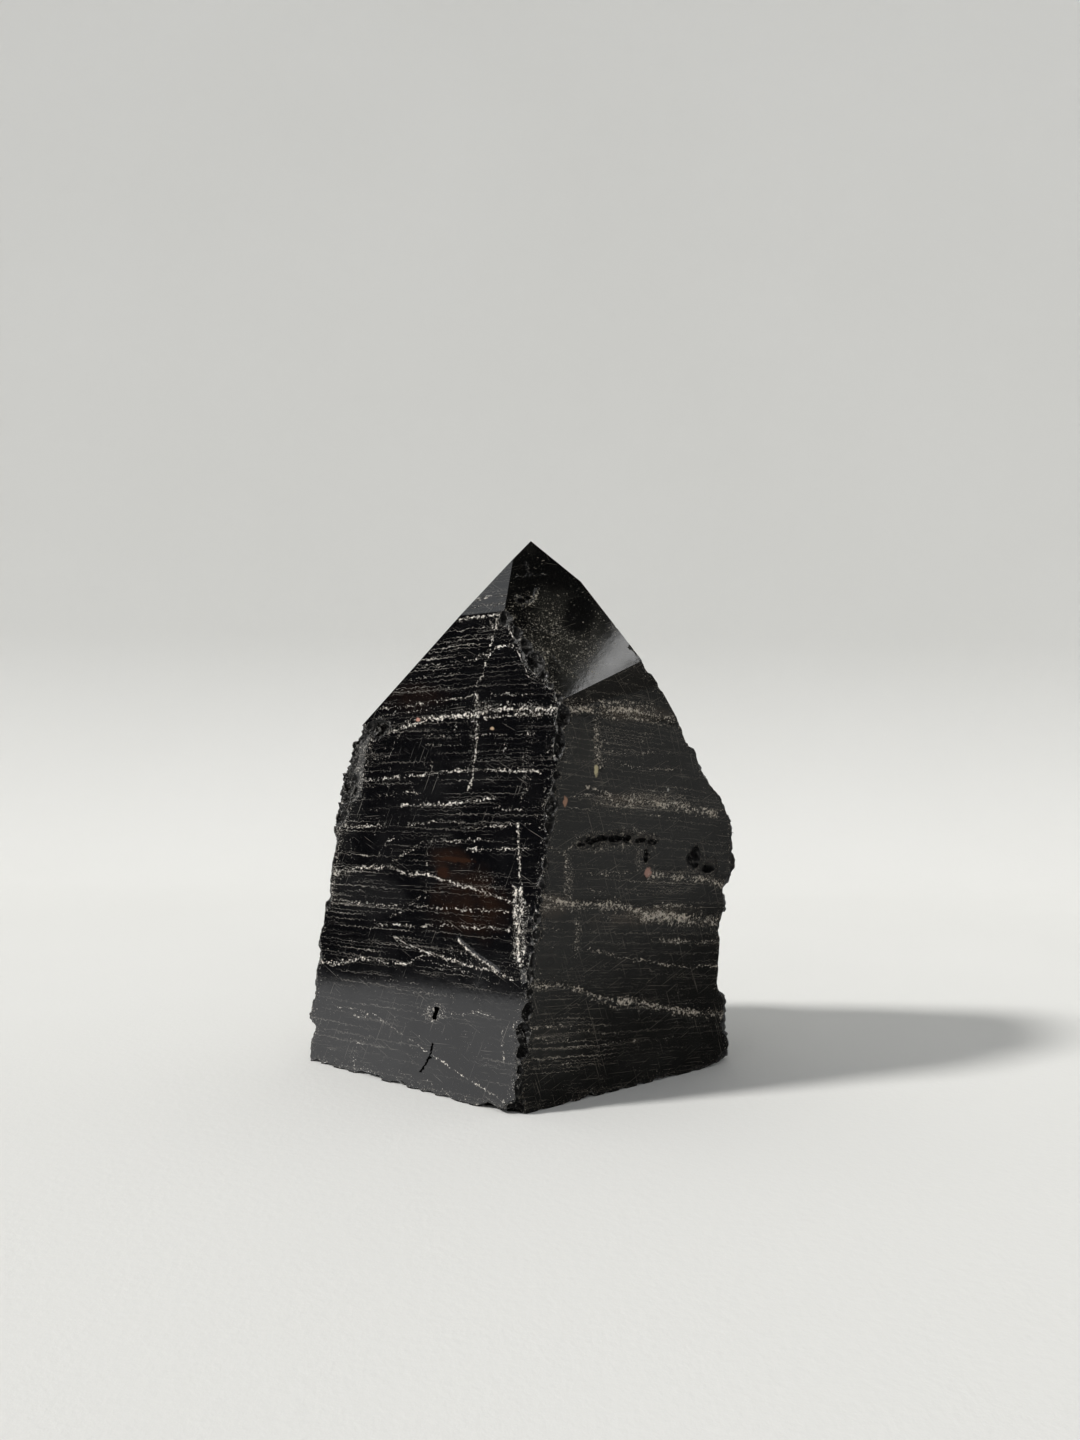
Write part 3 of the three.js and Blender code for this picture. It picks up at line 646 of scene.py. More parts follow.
RIGHT_UPRIGHTS = (
    Fracture(((93.0, 21.0), (84.0, 21.5), (77.5, 23.5)), 0.60, 0.8, 0.36),
    Fracture(((90.0, 33.0), (85.0, 36.0), (77.0, 36.5)), 0.18, 0.45),
    Fracture(((60.5, 12.5), (52.5, 14.0), (44.0, 15.5)), 0.50, 0.7, 0.40),
    Fracture(((44.0, 16.5), (34.5, 17.5)), 0.45, 0.5, 0.48),
    Fracture(((40.0, 40.0), (30.0, 40.5), (14.0, 41.5)), 0.20, 0.35, 0.48),
    Fracture(((66.0, 30.0), (54.0, 31.0)), 0.16, 0.35, 0.48),
)

TIP_FRACTURES = (
    Fracture(((-1.5, 120.0), (1.0, 119.0), (2.5, 120.5)), 0.50, 1.0, 0.15),
    Fracture(((2.5, 107.5), (8.0, 105.0), (13.5, 99.0)), 0.18, 0.55),
    Fracture(((1.5, 112.5), (10.0, 112.0)), 0.14, 0.35),
    Fracture(((4.0, 103.5), (11.0, 102.0)), 0.14, 0.40),
    Fracture(((-3.0, 126.5), (6.0, 127.5)), 0.12, 0.40),
)

TIP_UPRIGHTS = (
    Fracture(((119.5, 2.5), (123.5, 3.0)), 0.26, 1.0, 0.15),
    Fracture(((131.5, 0.0), (127.0, 0.5)), 0.14, 0.4),
)


@dataclass(frozen=True)
class InclusionAndReflection:
    """A small coloured spot on a face, in millimetres: mostly a grain of another mineral; on the left face
    two of them are streaks of painted reflection.

    Args:
        middle: Its middle, along the face and up it.
        reach: Its half length and half height.
        colour: Its colour.
    """

    middle: Spot
    reach: Spot
    colour: Colour


@dataclass(frozen=True)
class GroundFinish:
    """A ground and polished face, with its fractures, patches and scratches.

    Args:
        name: The material's name.
        stone: The stone's own colour.
        haze: The colour of its hazy patches.
        stain_and_reflection: The colour of its stained patches; on the left face it is also the brown of a
            painted reflection.
        vein: The colour of its fracture lines and crushed grains.
        broken: The colour of its crushed borders.
        gloss: The roughness where it is well polished.
        dull: The roughness where it is hazy.
        facing: The bearing of the face's level direction, in radians.
        origin: Where that direction starts, in millimetres.
        fractures: Lines that run along the face.
        uprights: Lines that run up it, each point as height, then place along.
        shaded_clefts: Open clefts that run up it; their black and their missing reflection are painted shade
            inside the cracks.
        hazes: Hazy patches.
        stains_and_reflections: Stained patches, and on the left face patches of painted reflection.
        crumbs: Zones of crushed grains.
        ruins: Zones where the polished skin has broken out.
        inclusions_and_reflections: Grains of other minerals, and on the left face two streaks of painted
            reflection.
        clears: Well polished patches.
        bundles: Zones with many hair fractures.
        strata: The amount of hair fractures.
        dip: How much the hair fractures fall along the face.
        scratches: The amount of polishing scratches.
        specks: The amount of loose specks all over.
        bite: How far its broken borders are crushed.
        seed: What sets this face's noise apart.
    """

    name: str
    stone: Colour
    haze: Colour
    stain_and_reflection: Colour
    vein: Colour
    gloss: float
    dull: float
    broken: Colour = (0.007, 0.007, 0.0068)
    facing: float = 0.0
    origin: Spot = (0.0, 0.0)
    fractures: tuple[Fracture, ...] = ()
    uprights: tuple[Fracture, ...] = ()
    shaded_clefts: tuple[Fracture, ...] = ()
    hazes: tuple[Patch, ...] = ()
    stains_and_reflections: tuple[Patch, ...] = ()
    crumbs: tuple[Patch, ...] = ()
    ruins: tuple[Patch, ...] = ()
    inclusions_and_reflections: tuple[InclusionAndReflection, ...] = ()
    clears: tuple[Patch, ...] = ()
    bundles: tuple[Patch, ...] = ()
    strata: float = 0.5
    dip: float = 0.0
    scratches: float = 0.3
    specks: float = 0.24
    bite: float = 0.5
    seed: float = 0.0

    def build(self, effects: Effects) -> bpy.types.Material:
        """Make the material.

        Args:
            effects: The shared node groups.

        Returns:
            The finished material.
        """
        material, g = blank_material(self.name)
        place = g.add("ShaderNodeTexCoord").outputs["Object"]
        turned = g.stretch(place, (1 / MM,) * 3, (0, 0, -self.facing), (*self.origin, 0))
        along, depth, height = g.parted(turned)
        flat = g.joined(along, height, g.math("MULTIPLY_ADD", depth, 0.15, self.seed))
        wander = g.use(effects.wander, Place=flat)

        close, deep = self._lines(g, effects, along, height, wander)
        worn = g.noise(flat, 0.85, 3.0, 0.65)
        beads = g.noise(flat, 1.7, 3.0, 0.75)
        swell = g.noise(g.stretch(flat, (0.6, 1.0, 1.0), shift=(8, 2, 5)), 0.35, 2.0, 0.6)
        uneven = g.math("MULTIPLY_ADD", beads, 6.0, g.math("MULTIPLY_ADD", swell, 2.4, -3.2))
        lines = g.span(g.math("MULTIPLY", close, uneven), 0.66, 1.45)

        ragged = g.noise(flat, 0.16, 4.0, 0.72)
        patches = partial(draw_patches, g, effects.patch, along, height, ragged)
        bundle = patches(self.bundles)
        bundle = g.math("MULTIPLY_ADD", bundle, 0.75, 0.25)
        fine = self._hairlines(g, effects, along, height, wander["Stray"])
        fine = g.math("MULTIPLY", fine, g.math("MULTIPLY", bundle, g.span(beads, 0.34, 0.60, 0.25, 1.0)))

        haze = patches(self.hazes)
        blocks = g.use(effects.blocks, Place=flat, Long=13.0, High=7.5, Seed=self.seed)
        tone = g.span(blocks["Tone"], 0.25, 0.95)
        cloud = g.span(g.noise(flat, 0.045, 3.0, 0.6), 0.42, 0.75)
        cloud = g.math("MULTIPLY", g.math("MULTIPLY_ADD", tone, 0.6, 0.4), cloud)
        haze = g.math("ADD", haze, cloud, clamp=True)
        clear = patches(self.clears)
        haze = g.math("MULTIPLY", haze, g.math("SUBTRACT", 1.0, clear))
        # stains, and on the left face a painted reflection: the brown of a wooden edge mirrored in the
        # glossy face
        stain_and_reflection = patches(self.stains_and_reflections)
        zone = patches(self.crumbs)
        zone = g.math("MULTIPLY", zone, g.math("SUBTRACT", 1.0, clear))
        ruin = patches(self.ruins)

        rim = g.add("ShaderNodeAttribute", attribute_name="rim").outputs["Fac"]
        ruin = g.math("MULTIPLY_ADD", ruin, 0.75, rim)
        crush = g.use(effects.edge_crush, Place=flat, Rim=ruin, Bite=self.bite)["Crush"]
        near = g.math("MULTIPLY_ADD", rim, 0.30, g.math("MULTIPLY", zone, 0.55))
        near = g.math("MULTIPLY_ADD", crush, 0.10, near)
        near = g.math("MULTIPLY_ADD", close, 0.34, near)
        near = g.math("MINIMUM", g.math("ADD", near, self.specks), 0.64)
        grains = g.use(effects.grains, Place=flat, Fineness=1.3, Zone=near)["Grains"]
        dust = g.use(effects.grains, Place=flat, Fineness=2.9, Zone=g.math("MULTIPLY", near, 1.18))["Grains"]
        grains = g.math("MAXIMUM", grains, g.math("MULTIPLY", dust, 0.7))
        marks = g.use(effects.scratches, Place=flat, Amount=self.scratches)["Scratches"]

        pale = g.math("MAXIMUM", g.math("MAXIMUM", lines, fine), grains)
        pale = g.math("MAXIMUM", pale, g.math("MULTIPLY", marks, 0.16))

        colour = g.mix(haze, self.stone, self.haze)
        colour = g.mix(g.math("MULTIPLY", stain_and_reflection, g.span(ragged, 0.25, 0.7)), colour, self.stain_and_reflection)
        colour = g.mix(crush, colour, self.broken)
        tint = g.noise(flat, 0.35, 2.0)
        vein = g.mix(tint, self.vein, tuple(c * t for c, t in zip(self.vein, (0.80, 0.73, 0.64))))
        colour = g.mix(pale, colour, vein)
        # grains of other minerals; on the left face two of these spots are painted reflection
        for grain in self.inclusions_and_reflections:
            shape = draw_patches(g, effects.patch, along, height, worn, [Patch(grain.middle, grain.reach)])
            colour = g.mix(shape, colour, grain.colour)
        shaded_clefts = self._shaded_clefts(g, effects, along, height, wander)
        # painted shade: the open clefts are painted black
        colour = g.mix(shaded_clefts, colour, CLEFT_SHADE)

        smudge = g.noise(flat, 0.11, 4.0, 0.7, 0.6)
        rough = g.span(smudge, 0.3, 0.8, self.gloss, self.gloss + 0.07)
        rough = g.math("MAXIMUM", rough, g.math("MULTIPLY", haze, self.dull))
        rough = g.math("MAXIMUM", rough, g.math("MULTIPLY", pale, 0.62))
        rough = g.math("MAXIMUM", rough, g.math("MULTIPLY", crush, 0.5))
        rough = g.math("MAXIMUM", rough, shaded_clefts)

        pits = g.math("MULTIPLY", crush, g.noise(flat, 1.1, 3.0, 0.7))
        relief = g.math("MULTIPLY_ADD", pits, -2.6, g.math("MULTIPLY", deep, -0.6))
        relief = g.math("MULTIPLY_ADD", worn, 0.05, relief)
        # painted shade: the clefts' reflection is turned off by their specular level
        g.surface(relief, 0.6, 0.18, Base_Color=colour, Roughness=rough, IOR=STONE_IOR,
                  Specular_IOR_Level=g.span(shaded_clefts, 0.0, 1.0, 0.5, 0.0))
        return material

    def _shaded_clefts(self, g: Graph, effects: Effects, along: Feed, height: Feed,
                wander: dict[str, bpy.types.NodeSocket]) -> Feed:
        """Draw the open clefts, painted black and without reflection as painted shade inside the cracks.

        Args:
            g: The material's graph.
            effects: The shared node groups.
            along: The place along the face.
            height: The height on it.
            wander: How the fractures stray and break.

        Returns:
            Their mask.
        """
        up = g.math("SUBTRACT", along, g.math("MULTIPLY", wander["Stray"], CLEFT_STRAY))
        mask: Feed = 0.0
        for cleft in self.shaded_clefts:
            course = sorted(cleft.course)
            low, high = course[0][0], course[-1][0]
            ends = ((low, 0.0), (low + CLEFT_TAPER, 1.0), (high - CLEFT_TAPER, 1.0), (high, 0.0))
            mask = g.use(effects.line, Height=up, Course=g.curve(height, course, False),
                         Presence=g.curve(height, ends), Breaks=1.0, Reach=cleft.width * 2,
                         Strength=cleft.strength, Broken=0.4, Whole=0.6, Before=mask)["Lines"]
        return g.span(mask, 0.40, 0.60)

    def _lines(self, g: Graph, effects: Effects, along: Feed, height: Feed,
               wander: dict[str, bpy.types.NodeSocket]) -> tuple[Feed, Feed]:
        """Draw every listed fracture, the strongest first; each one nudges the next a little.

        Args:
            g: The material's graph.
            effects: The shared node groups.
            along: The place along the face.
            height: The height on it.
            wander: How the fractures stray and break.

        Returns:
            The mask of all the lines, and that of the deepest ones.
        """
        small = g.math("MULTIPLY", wander["Stray"], LINE_STRAY)
        along = g.math("SUBTRACT", along, small)
        height = g.math("SUBTRACT", height, small)
        drawn = [(fracture, along, height) for fracture in self.fractures]
        drawn += [(fracture, height, along) for fracture in self.uprights]
        drawn.sort(key=lambda entry: -entry[0].strength)
        masks: list[Feed] = [0.0]
        for fracture, across, up in drawn:
            course = sorted(fracture.course)
            first, last = course[0][0], course[-1][0]
            taper = min(LONGEST_TAPER, TAPER_SHARE * (last - first))
            ends = ((first, 0.0), (first + taper, 1.0), (last - taper, 1.0), (last, 0.0))
            nudged = g.math("MULTIPLY_ADD", masks[-1], LINE_NUDGE, across)
            line = g.use(effects.line, Height=up, Course=g.curve(nudged, course),
                         Presence=g.curve(nudged, ends), Breaks=wander["Breaks"],
                         Reach=fracture.width * LINE_REACH, Strength=0.5 + 0.5 * fracture.strength,
                         Broken=fracture.gaps - GAP_SPREAD, Whole=fracture.gaps + GAP_SPREAD,
                         Before=masks[-1])
            masks.append(line["Lines"])
        return masks[-1], masks[min(DEEP_LINES, len(drawn))]

    def _hairlines(self, g: Graph, effects: Effects, along: Feed, height: Feed, stray: Feed) -> Feed:
        """Draw the hair fractures: wide ones far apart, and thin ones close together."""
        level = g.math("MULTIPLY_ADD", along, self.dip, g.math("MULTIPLY_ADD", stray, -0.28, height))
        wide = g.use(effects.strata, Along=along, Height=level, Spacing=2.2, Width=0.15, Reach=34.0,
                     Amount=self.strata, Seed=self.seed)["Lines"]
        thin = g.use(effects.strata, Along=along, Height=level, Spacing=0.8, Width=0.10, Reach=22.0,
                     Amount=self.strata, Seed=self.seed + 40.0)["Lines"]
        return g.math("MAXIMUM", g.math("MULTIPLY", wide, 0.75), g.math("MULTIPLY", thin, 0.52))


@dataclass(frozen=True)
class RoughFinish:
    """Stone that was never ground: the raw crystal, or a fresh chip.

    Args:
        name: The material's name.
        stone: The colour of its faces.
        warm: The colour of its brownish zones.
        dust: The colour of crushed crests and of seams.
        gloss: The roughness of its smooth faces.
        dull: The roughness of its crushed parts.
        ribbing: How strongly it is ribbed along the crystal.
        crests: How much its crests are crushed.
        grains: The amount of crushed grains.
        seams: How pale its fracture seams are.
        shine: How strongly it reflects.
        crumbs: Zones of crushed grains, each middle as the place across the stone, then the height.
    """

    name: str
    stone: Colour
    warm: Colour
    dust: Colour
    gloss: float
    dull: float
    ribbing: float
    crests: float
    grains: float
    seams: float
    shine: float = 0.5
    crumbs: tuple[Patch, ...] = ()

    def build(self, effects: Effects) -> bpy.types.Material:
        """Make the material.

        Args:
            effects: The shared node groups.

        Returns:
            The finished material.
        """
        material, g = blank_material(self.name)
        place = g.stretch(g.add("ShaderNodeTexCoord").outputs["Object"], (1 / MM,) * 3)
        ribs = g.noise(g.stretch(place, (1.4, 1.4, 0.05)), 1.0, 3.0, 0.65)
        hairs = g.noise(g.stretch(place, (4.5, 4.5, 0.09)), 1.0, 2.0, 0.6)
        across, deep, height = g.parted(place)
        level = g.math("MULTIPLY_ADD", across, -FRACTURE_DIP[0], height)
        level = g.math("MULTIPLY_ADD", deep, -FRACTURE_DIP[1], level)
        sway = g.noise(g.stretch(place, (1, 1, 0.4)), 0.09, 3.0, 0.6)
        level = g.math("MULTIPLY_ADD", g.math("SUBTRACT", sway, 0.5), 5.0, level)
        around = g.math("ADD", across, g.math("MULTIPLY", deep, 1.3))
        wide = g.use(effects.strata, Along=around, Height=level, Spacing=5.5, Width=0.45, Reach=34.0,
                     Amount=0.75, Seed=5.0)["Lines"]
        thin = g.use(effects.strata, Along=around, Height=level, Spacing=1.7, Width=0.20, Reach=14.0,
                     Amount=0.6, Seed=9.0)["Lines"]
        seams = g.math("MAXIMUM", wide, g.math("MULTIPLY", thin, 0.6))

        crest = g.add("ShaderNodeAttribute", attribute_name="crest").outputs["Fac"]
        speck = g.noise(place, 1.8, 3.0, 0.7)
        raised = g.math("MULTIPLY_ADD", g.math("SUBTRACT", speck, 0.5), 0.9, crest)
        crushed = g.math("MULTIPLY", g.span(raised, 0.62, 0.95), self.crests)
        hollow = g.math("MULTIPLY", g.span(raised, 0.34, 0.10), g.span(speck, 0.46, 0.60, 0.0, self.seams))
        zone = draw_patches(g, effects.patch, across, height, sway, self.crumbs)
        zone = g.math("MULTIPLY_ADD", zone, 0.6 - self.grains, self.grains)
        grains = g.use(effects.grains, Place=place, Fineness=1.5, Zone=zone)["Grains"]
        pale = g.math("MAXIMUM", g.math("MULTIPLY", seams, self.seams), g.math("MAXIMUM", crushed, grains))
        pale = g.math("MAXIMUM", pale, hollow)

        brown = g.span(g.noise(place, 0.05, 4.0, 0.65), 0.48, 0.72)
        colour = g.mix(brown, self.stone, self.warm)
        lift = g.math("MULTIPLY", g.span(hairs, 0.45, 0.8), 0.2 * self.seams)
        colour = g.mix(lift, colour, self.dust)
        colour = g.mix(pale, colour, self.dust)

        sheen = g.math("ADD", g.math("MULTIPLY", ribs, 0.5), g.math("MULTIPLY", speck, 0.5))
        sheen = g.span(sheen, 0.35, 0.65)
        rough = g.span(sheen, 0.0, 1.0, self.gloss, self.gloss + 0.22)
        rough = g.math("MAXIMUM", rough, g.math("MULTIPLY", pale, self.dull))

        relief = g.math("MULTIPLY_ADD", ribs, self.ribbing, g.math("MULTIPLY", hairs, self.ribbing * 0.4))
        relief = g.math("MULTIPLY_ADD", seams, -0.5, relief)
        relief = g.math("MULTIPLY_ADD", speck, 0.45, relief)
        relief = g.math("MULTIPLY_ADD", grains, 0.3, relief)
        g.surface(relief, 0.7, 0.3, Base_Color=colour, Roughness=rough, IOR=STONE_IOR,
                  Specular_IOR_Level=self.shine)
        return material


LEFT_FACING = math.radians(144.3)
RIGHT_FACING = math.radians(36.5)
LEFT_ORIGIN = (24.9, 0.0)
RIGHT_ORIGIN = (27.7, 0.0)

FINISHES: dict[Finish, Union[GroundFinish, RoughFinish]] = {
    Finish.LEFT_FACE: GroundFinish(
        name="polished left face",
        stone=(0.0022, 0.0022, 0.0028),
        haze=(0.010, 0.010, 0.0105),
        # painted reflection: this brown stands for a wooden edge mirrored in the left face, and it also
        # colours one real stain
        stain_and_reflection=(0.020, 0.0095, 0.0055),
        vein=(0.84, 0.82, 0.78),
        gloss=0.055,
        dull=0.16,
        facing=LEFT_FACING,
        origin=LEFT_ORIGIN,
        fractures=LEFT_FRACTURES,
        uprights=LEFT_UPRIGHTS,
        # open clefts, painted black and without reflection as painted shade inside the cracks
        shaded_clefts=(Fracture(((12.0, 24.9), (8.6, 25.6), (4.2, 28.2)), 0.30, 1.0),
                Fracture(((20.6, 24.6), (17.2, 25.3)), 0.75, 1.0)),
        ruins=(Patch((61.0, 78.0), (9.0, 11.0), 0.9, 0.4), Patch((1.0, 31.0), (3.0, 3.0), 0.7),
               Patch((4.0, 88.0), (3.5, 8.0), 0.5), Patch((1.0, 44.0), (3.0, 8.0), 0.5)),
        hazes=(Patch((52.0, 45.0), (19.0, 8.0), 0.9), Patch((50.0, 12.0), (22.0, 14.0), 0.5),
               Patch((62.0, 68.0), (9.0, 20.0), 0.8)),
        # the first two patches paint the reflection of a brown wooden edge just above the pale mirrored
        # table; the third is a real stain
        stains_and_reflections=(Patch((17.0, 46.0), (15.0, 10.0), 0.9), Patch((24.0, 56.0), (9.0, 4.0), 0.8),
                Patch((40.0, 96.0), (14.0, 5.0), 0.35)),
        crumbs=(Patch((25.0, 19.0), (5.0, 3.2)), Patch((1.5, 41.0), (3.2, 9.5), 1.0, 0.7),
                Patch((19.0, 33.5), (9.0, 3.0), 0.4), Patch((18.0, 93.5), (8.0, 2.6), 0.5, 0.8),
                Patch((3.0, 92.0), (8.0, 3.0), 0.7, 0.7), Patch((17.0, 113.5), (4.0, 2.5), 0.5, 0.8),
                Patch((12.0, 51.0), (9.0, 5.0), 0.45, 0.8), Patch((61.0, 80.0), (9.0, 11.0), 0.6),
                Patch((64.0, 54.0), (7.0, 24.0), 0.35, 0.8), Patch((20.0, 86.0), (3.0, 14.0), 0.35, 0.8),
                Patch((3.0, 80.0), (2.6, 14.0), 0.4)),
        bundles=(Patch((40.0, 103.0), (16.0, 9.0), 1.0, 0.7), Patch((26.0, 110.0), (12.0, 5.0), 0.8),
                 Patch((62.0, 56.0), (16.0, 26.0), 1.0, 0.7), Patch((48.0, 36.0), (24.0, 9.0), 0.9, 0.7),
                 Patch((18.0, 73.0), (16.0, 6.0), 0.6, 0.7), Patch((22.0, 29.0), (22.0, 4.0), 0.8, 0.7)),
        inclusions_and_reflections=(InclusionAndReflection((38.5, 90.3), (0.8, 0.6), (0.50, 0.26, 0.20)),
                    InclusionAndReflection((14.0, 88.0), (0.7, 0.5), (0.45, 0.33, 0.22)),
                    # these two dark brown streaks are painted reflection: the top of a wooden edge mirrored
                    # in the face
                    InclusionAndReflection((22.5, 56.0), (6.5, 0.8), (0.026, 0.012, 0.007)),
                    InclusionAndReflection((26.0, 52.5), (3.0, 1.6), (0.024, 0.011, 0.007))),
        strata=0.62,
        dip=0.035,
        scratches=0.30,
        seed=3.0,
    ),
    Finish.RIGHT_FACE: GroundFinish(
        name="satin right face",
        stone=(0.0065, 0.0064, 0.0058),
        haze=(0.014, 0.0138, 0.0122),
        stain_and_reflection=(0.050, 0.038, 0.027),
        vein=(0.52, 0.48, 0.42),
        gloss=0.17,
        dull=0.30,
        facing=RIGHT_FACING,
        origin=RIGHT_ORIGIN,
        fractures=RIGHT_FRACTURES,
        uprights=RIGHT_UPRIGHTS,
        hazes=(Patch((16.0, 84.0), (6.0, 9.0), 0.8), Patch((10.0, 36.0), (8.0, 7.0), 0.6),
               Patch((12.0, 14.0), (16.0, 13.0), 0.8, 0.8)),
        ruins=(Patch((19.0, 61.2), (5.0, 2.0), 0.8, 0.6), Patch((28.0, 62.2), (7.0, 2.4), 0.8, 0.6),
               Patch((37.0, 61.2), (6.0, 1.9), 0.8, 0.6), Patch((60.0, 53.0), (6.0, 4.0), 0.5)),
        stains_and_reflections=(Patch((34.0, 92.0), (16.0, 2.6), 0.8), Patch((38.0, 42.0), (22.0, 3.0), 0.6),
                Patch((9.0, 47.0), (7.0, 4.0), 0.7), Patch((32.0, 71.0), (16.0, 2.4), 0.6)),
        crumbs=(Patch((27.0, 61.5), (16.0, 3.4), 1.0, 0.7), Patch((21.5, 86.0), (2.0, 9.5), 1.0, 0.7),
                Patch((14.0, 52.0), (2.4, 9.0), 0.9, 0.7), Patch((28.0, 93.0), (19.0, 2.4), 0.8, 0.8),
                Patch((38.0, 71.0), (18.0, 3.0), 0.6, 0.8), Patch((40.0, 42.5), (20.0, 2.6), 0.7, 0.8),
                Patch((9.0, 48.0), (9.0, 3.4), 0.7, 0.8), Patch((17.0, 40.0), (2.0, 8.0), 0.6),
                Patch((6.0, 29.0), (8.0, 2.4), 0.6), Patch((3.0, 90.0), (4.0, 6.0), 0.6),
                Patch((36.0, 57.0), (2.0, 5.0), 0.6)),
        bundles=(Patch((34.0, 71.0), (26.0, 5.0), 1.0, 0.7), Patch((12.0, 14.0), (20.0, 14.0), 1.0, 0.7),
                 Patch((44.0, 50.0), (22.0, 6.0), 0.7, 0.8), Patch((30.0, 86.0), (18.0, 7.0), 0.6, 0.8)),
        inclusions_and_reflections=(InclusionAndReflection((21.4, 78.1), (0.8, 1.6), (0.46, 0.40, 0.24)),
                    InclusionAndReflection((12.4, 71.0), (0.8, 1.5), (0.30, 0.16, 0.10)),
                    InclusionAndReflection((38.9, 52.9), (1.3, 1.5), (0.34, 0.19, 0.15)),
                    InclusionAndReflection((45.0, 73.2), (0.6, 0.6), (0.30, 0.29, 0.27))),
        strata=0.70,
        dip=0.11,
        scratches=0.50,
        seed=17.0,
    ),
    Finish.TIP_FRONT: GroundFinish(
        name="satin tip facet",
        stone=(0.0030, 0.0030, 0.0028),
        haze=(0.0200, 0.0195, 0.0165),
        stain_and_reflection=(0.05, 0.042, 0.028),
        vein=(0.44, 0.42, 0.36),
        gloss=0.045,
        dull=0.085,
        fractures=TIP_FRACTURES,
        uprights=TIP_UPRIGHTS,
        hazes=(Patch((16.0, 106.0), (18.0, 16.0), 0.9, 0.7), Patch((8.0, 118.0), (9.0, 9.0), 0.7, 0.7)),
        crumbs=(Patch((9.0, 112.0), (16.0, 17.0), 0.62, 0.9), Patch((12.0, 105.0), (12.0, 8.0), 0.6, 0.9)),
        clears=(Patch((13.4, 117.1), (5.0, 7.5), 1.0, 0.5), Patch((1.0, 127.0), (3.5, 9.0), 0.8, 0.6),
                Patch((4.0, 100.0), (6.0, 7.0), 0.8, 0.6)),
        strata=0.30,
        scratches=0.35,
        specks=0.30,
        seed=29.0,
    ),
    Finish.TIP_SIDES: GroundFinish(
        name="polished tip facets",
        stone=(0.004, 0.004, 0.0042),
        haze=(0.014, 0.014, 0.014),
        stain_and_reflection=(0.03, 0.022, 0.016),
        vein=(0.62, 0.60, 0.56),
        gloss=0.10,
        dull=0.22,
        facing=math.radians(136.0),
        fractures=(Fracture(((-60.0, 121.0), (60.0, 121.0)), 0.16, 0.8, 0.42),
                   Fracture(((-60.0, 118.4), (60.0, 118.8)), 0.14, 0.6, 0.45),
                   Fracture(((-60.0, 126.2), (60.0, 126.0)), 0.12, 0.5, 0.5)),
        strata=0.85,
        scratches=0.5,
        seed=41.0,
    ),
    Finish.SAWN_BASE: GroundFinish(
        name="sawn base",
        stone=(0.022, 0.022, 0.022),
        haze=(0.045, 0.044, 0.042),
        stain_and_reflection=(0.06, 0.045, 0.032),
        vein=(0.40, 0.38, 0.34),
        gloss=0.42,
        dull=0.60,
        strata=0.35,
        scratches=1.0,
        seed=53.0,
    ),
    Finish.RAW: RoughFinish(
        name="raw crystal",
        stone=(0.0070, 0.0070, 0.0074),
        warm=(0.018, 0.0135, 0.0100),
        dust=(0.34, 0.32, 0.29),
        gloss=0.26,
        dull=0.75,
        ribbing=1.0,
        crests=0.40,
        grains=0.34,
        seams=0.17,
        crumbs=(Patch((-47.0, 84.0), (10.0, 13.0), 0.9, 0.7),),
    ),
    Finish.CHIPPED: RoughFinish(
        name="chipped edge",
        stone=(0.0040, 0.0040, 0.0042),
        warm=(0.008, 0.0072, 0.0064),
        dust=(0.52, 0.50, 0.46),
        gloss=0.26,
        dull=0.60,
        ribbing=0.2,
        crests=0.34,
        grains=0.16,
        seams=0.08,
        shine=0.20,
        crumbs=(Patch((0.0, 41.0), (9.0, 10.0)), Patch((8.0, 93.0), (9.0, 8.0), 0.8),
                Patch((-50.0, 74.0), (14.0, 22.0), 0.8), Patch((4.0, 108.0), (6.0, 14.0), 0.5),
                Patch((24.0, 61.0), (20.0, 6.0), 0.9, 0.4), Patch((0.0, 15.0), (9.0, 18.0), 0.75)),
    ),
}


# ---------------------------------------------------------------------------------------------
# The stone
# ---------------------------------------------------------------------------------------------


@dataclass(frozen=True)
class Layer:
    """A layer of the relief, as noise that is drawn out along the crystal or across it.

    Args:
        height: How high it is, in millimetres.
        across: Its frequency across the crystal, per millimetre.
        along: Its frequency along it.
        shift: What sets it apart from other layers.
    """

    height: float
    across: float
    along: float
    shift: float = 0.0

    def at(self, x: float, y: float, level: float) -> float:
        """How far it stands out at a place, in millimetres."""
        spot = Vector((x * self.across, y * self.across, level * self.along + self.shift))
        return self.height * noise.noise(spot)


RIBS = Layer(1.1, 0.30, 0.024)
STRIAE = Layer(0.42, 1.05, 0.040, 9)
BANDS = Layer(1.0, 0.035, 0.34)
STEPS = Layer(0.55, 0.12, 0.22, 4)
CRACK_DEPTH = 0.80
CRACK_NARROWNESS = 9.0
FLAKE_SCALE, CRUMB_SCALE = 0.45, 1.1
FLAKE_HEIGHT, CRUMB_HEIGHT = 1.0, 0.55
CREST_GAIN = 1.2
LEAST_SPREAD = 0.01 * MM


def raw_relief(spot: Vector) -> float:
    """The raw crystal's fine relief: ribs, striae, cracks and grains.

    Args:
        spot: A place on it, in millimetres.

    Returns:
        How far the surface stands out there, in millimetres.
    """
    x, y, z = spot
    level = z - FRACTURE_DIP[0] * x - FRACTURE_DIP[1] * y + 2.5 * noise.noise(spot * 0.06)
    crack = -CRACK_DEPTH * max(0.0, 1.0 - abs(BANDS.at(x, y, level)) * CRACK_NARROWNESS)
    patch = min(max(0.5 + 2.2 * noise.noise(spot * 0.07), 0.15), 1.0)
    grain = 0.85 * patch * noise.noise(spot * 0.62) + 0.22 * noise.noise(spot * 1.7)
    return RIBS.at(x, y, z) + STRIAE.at(x, y, z) + crack + STEPS.at(x, y, level) + grain


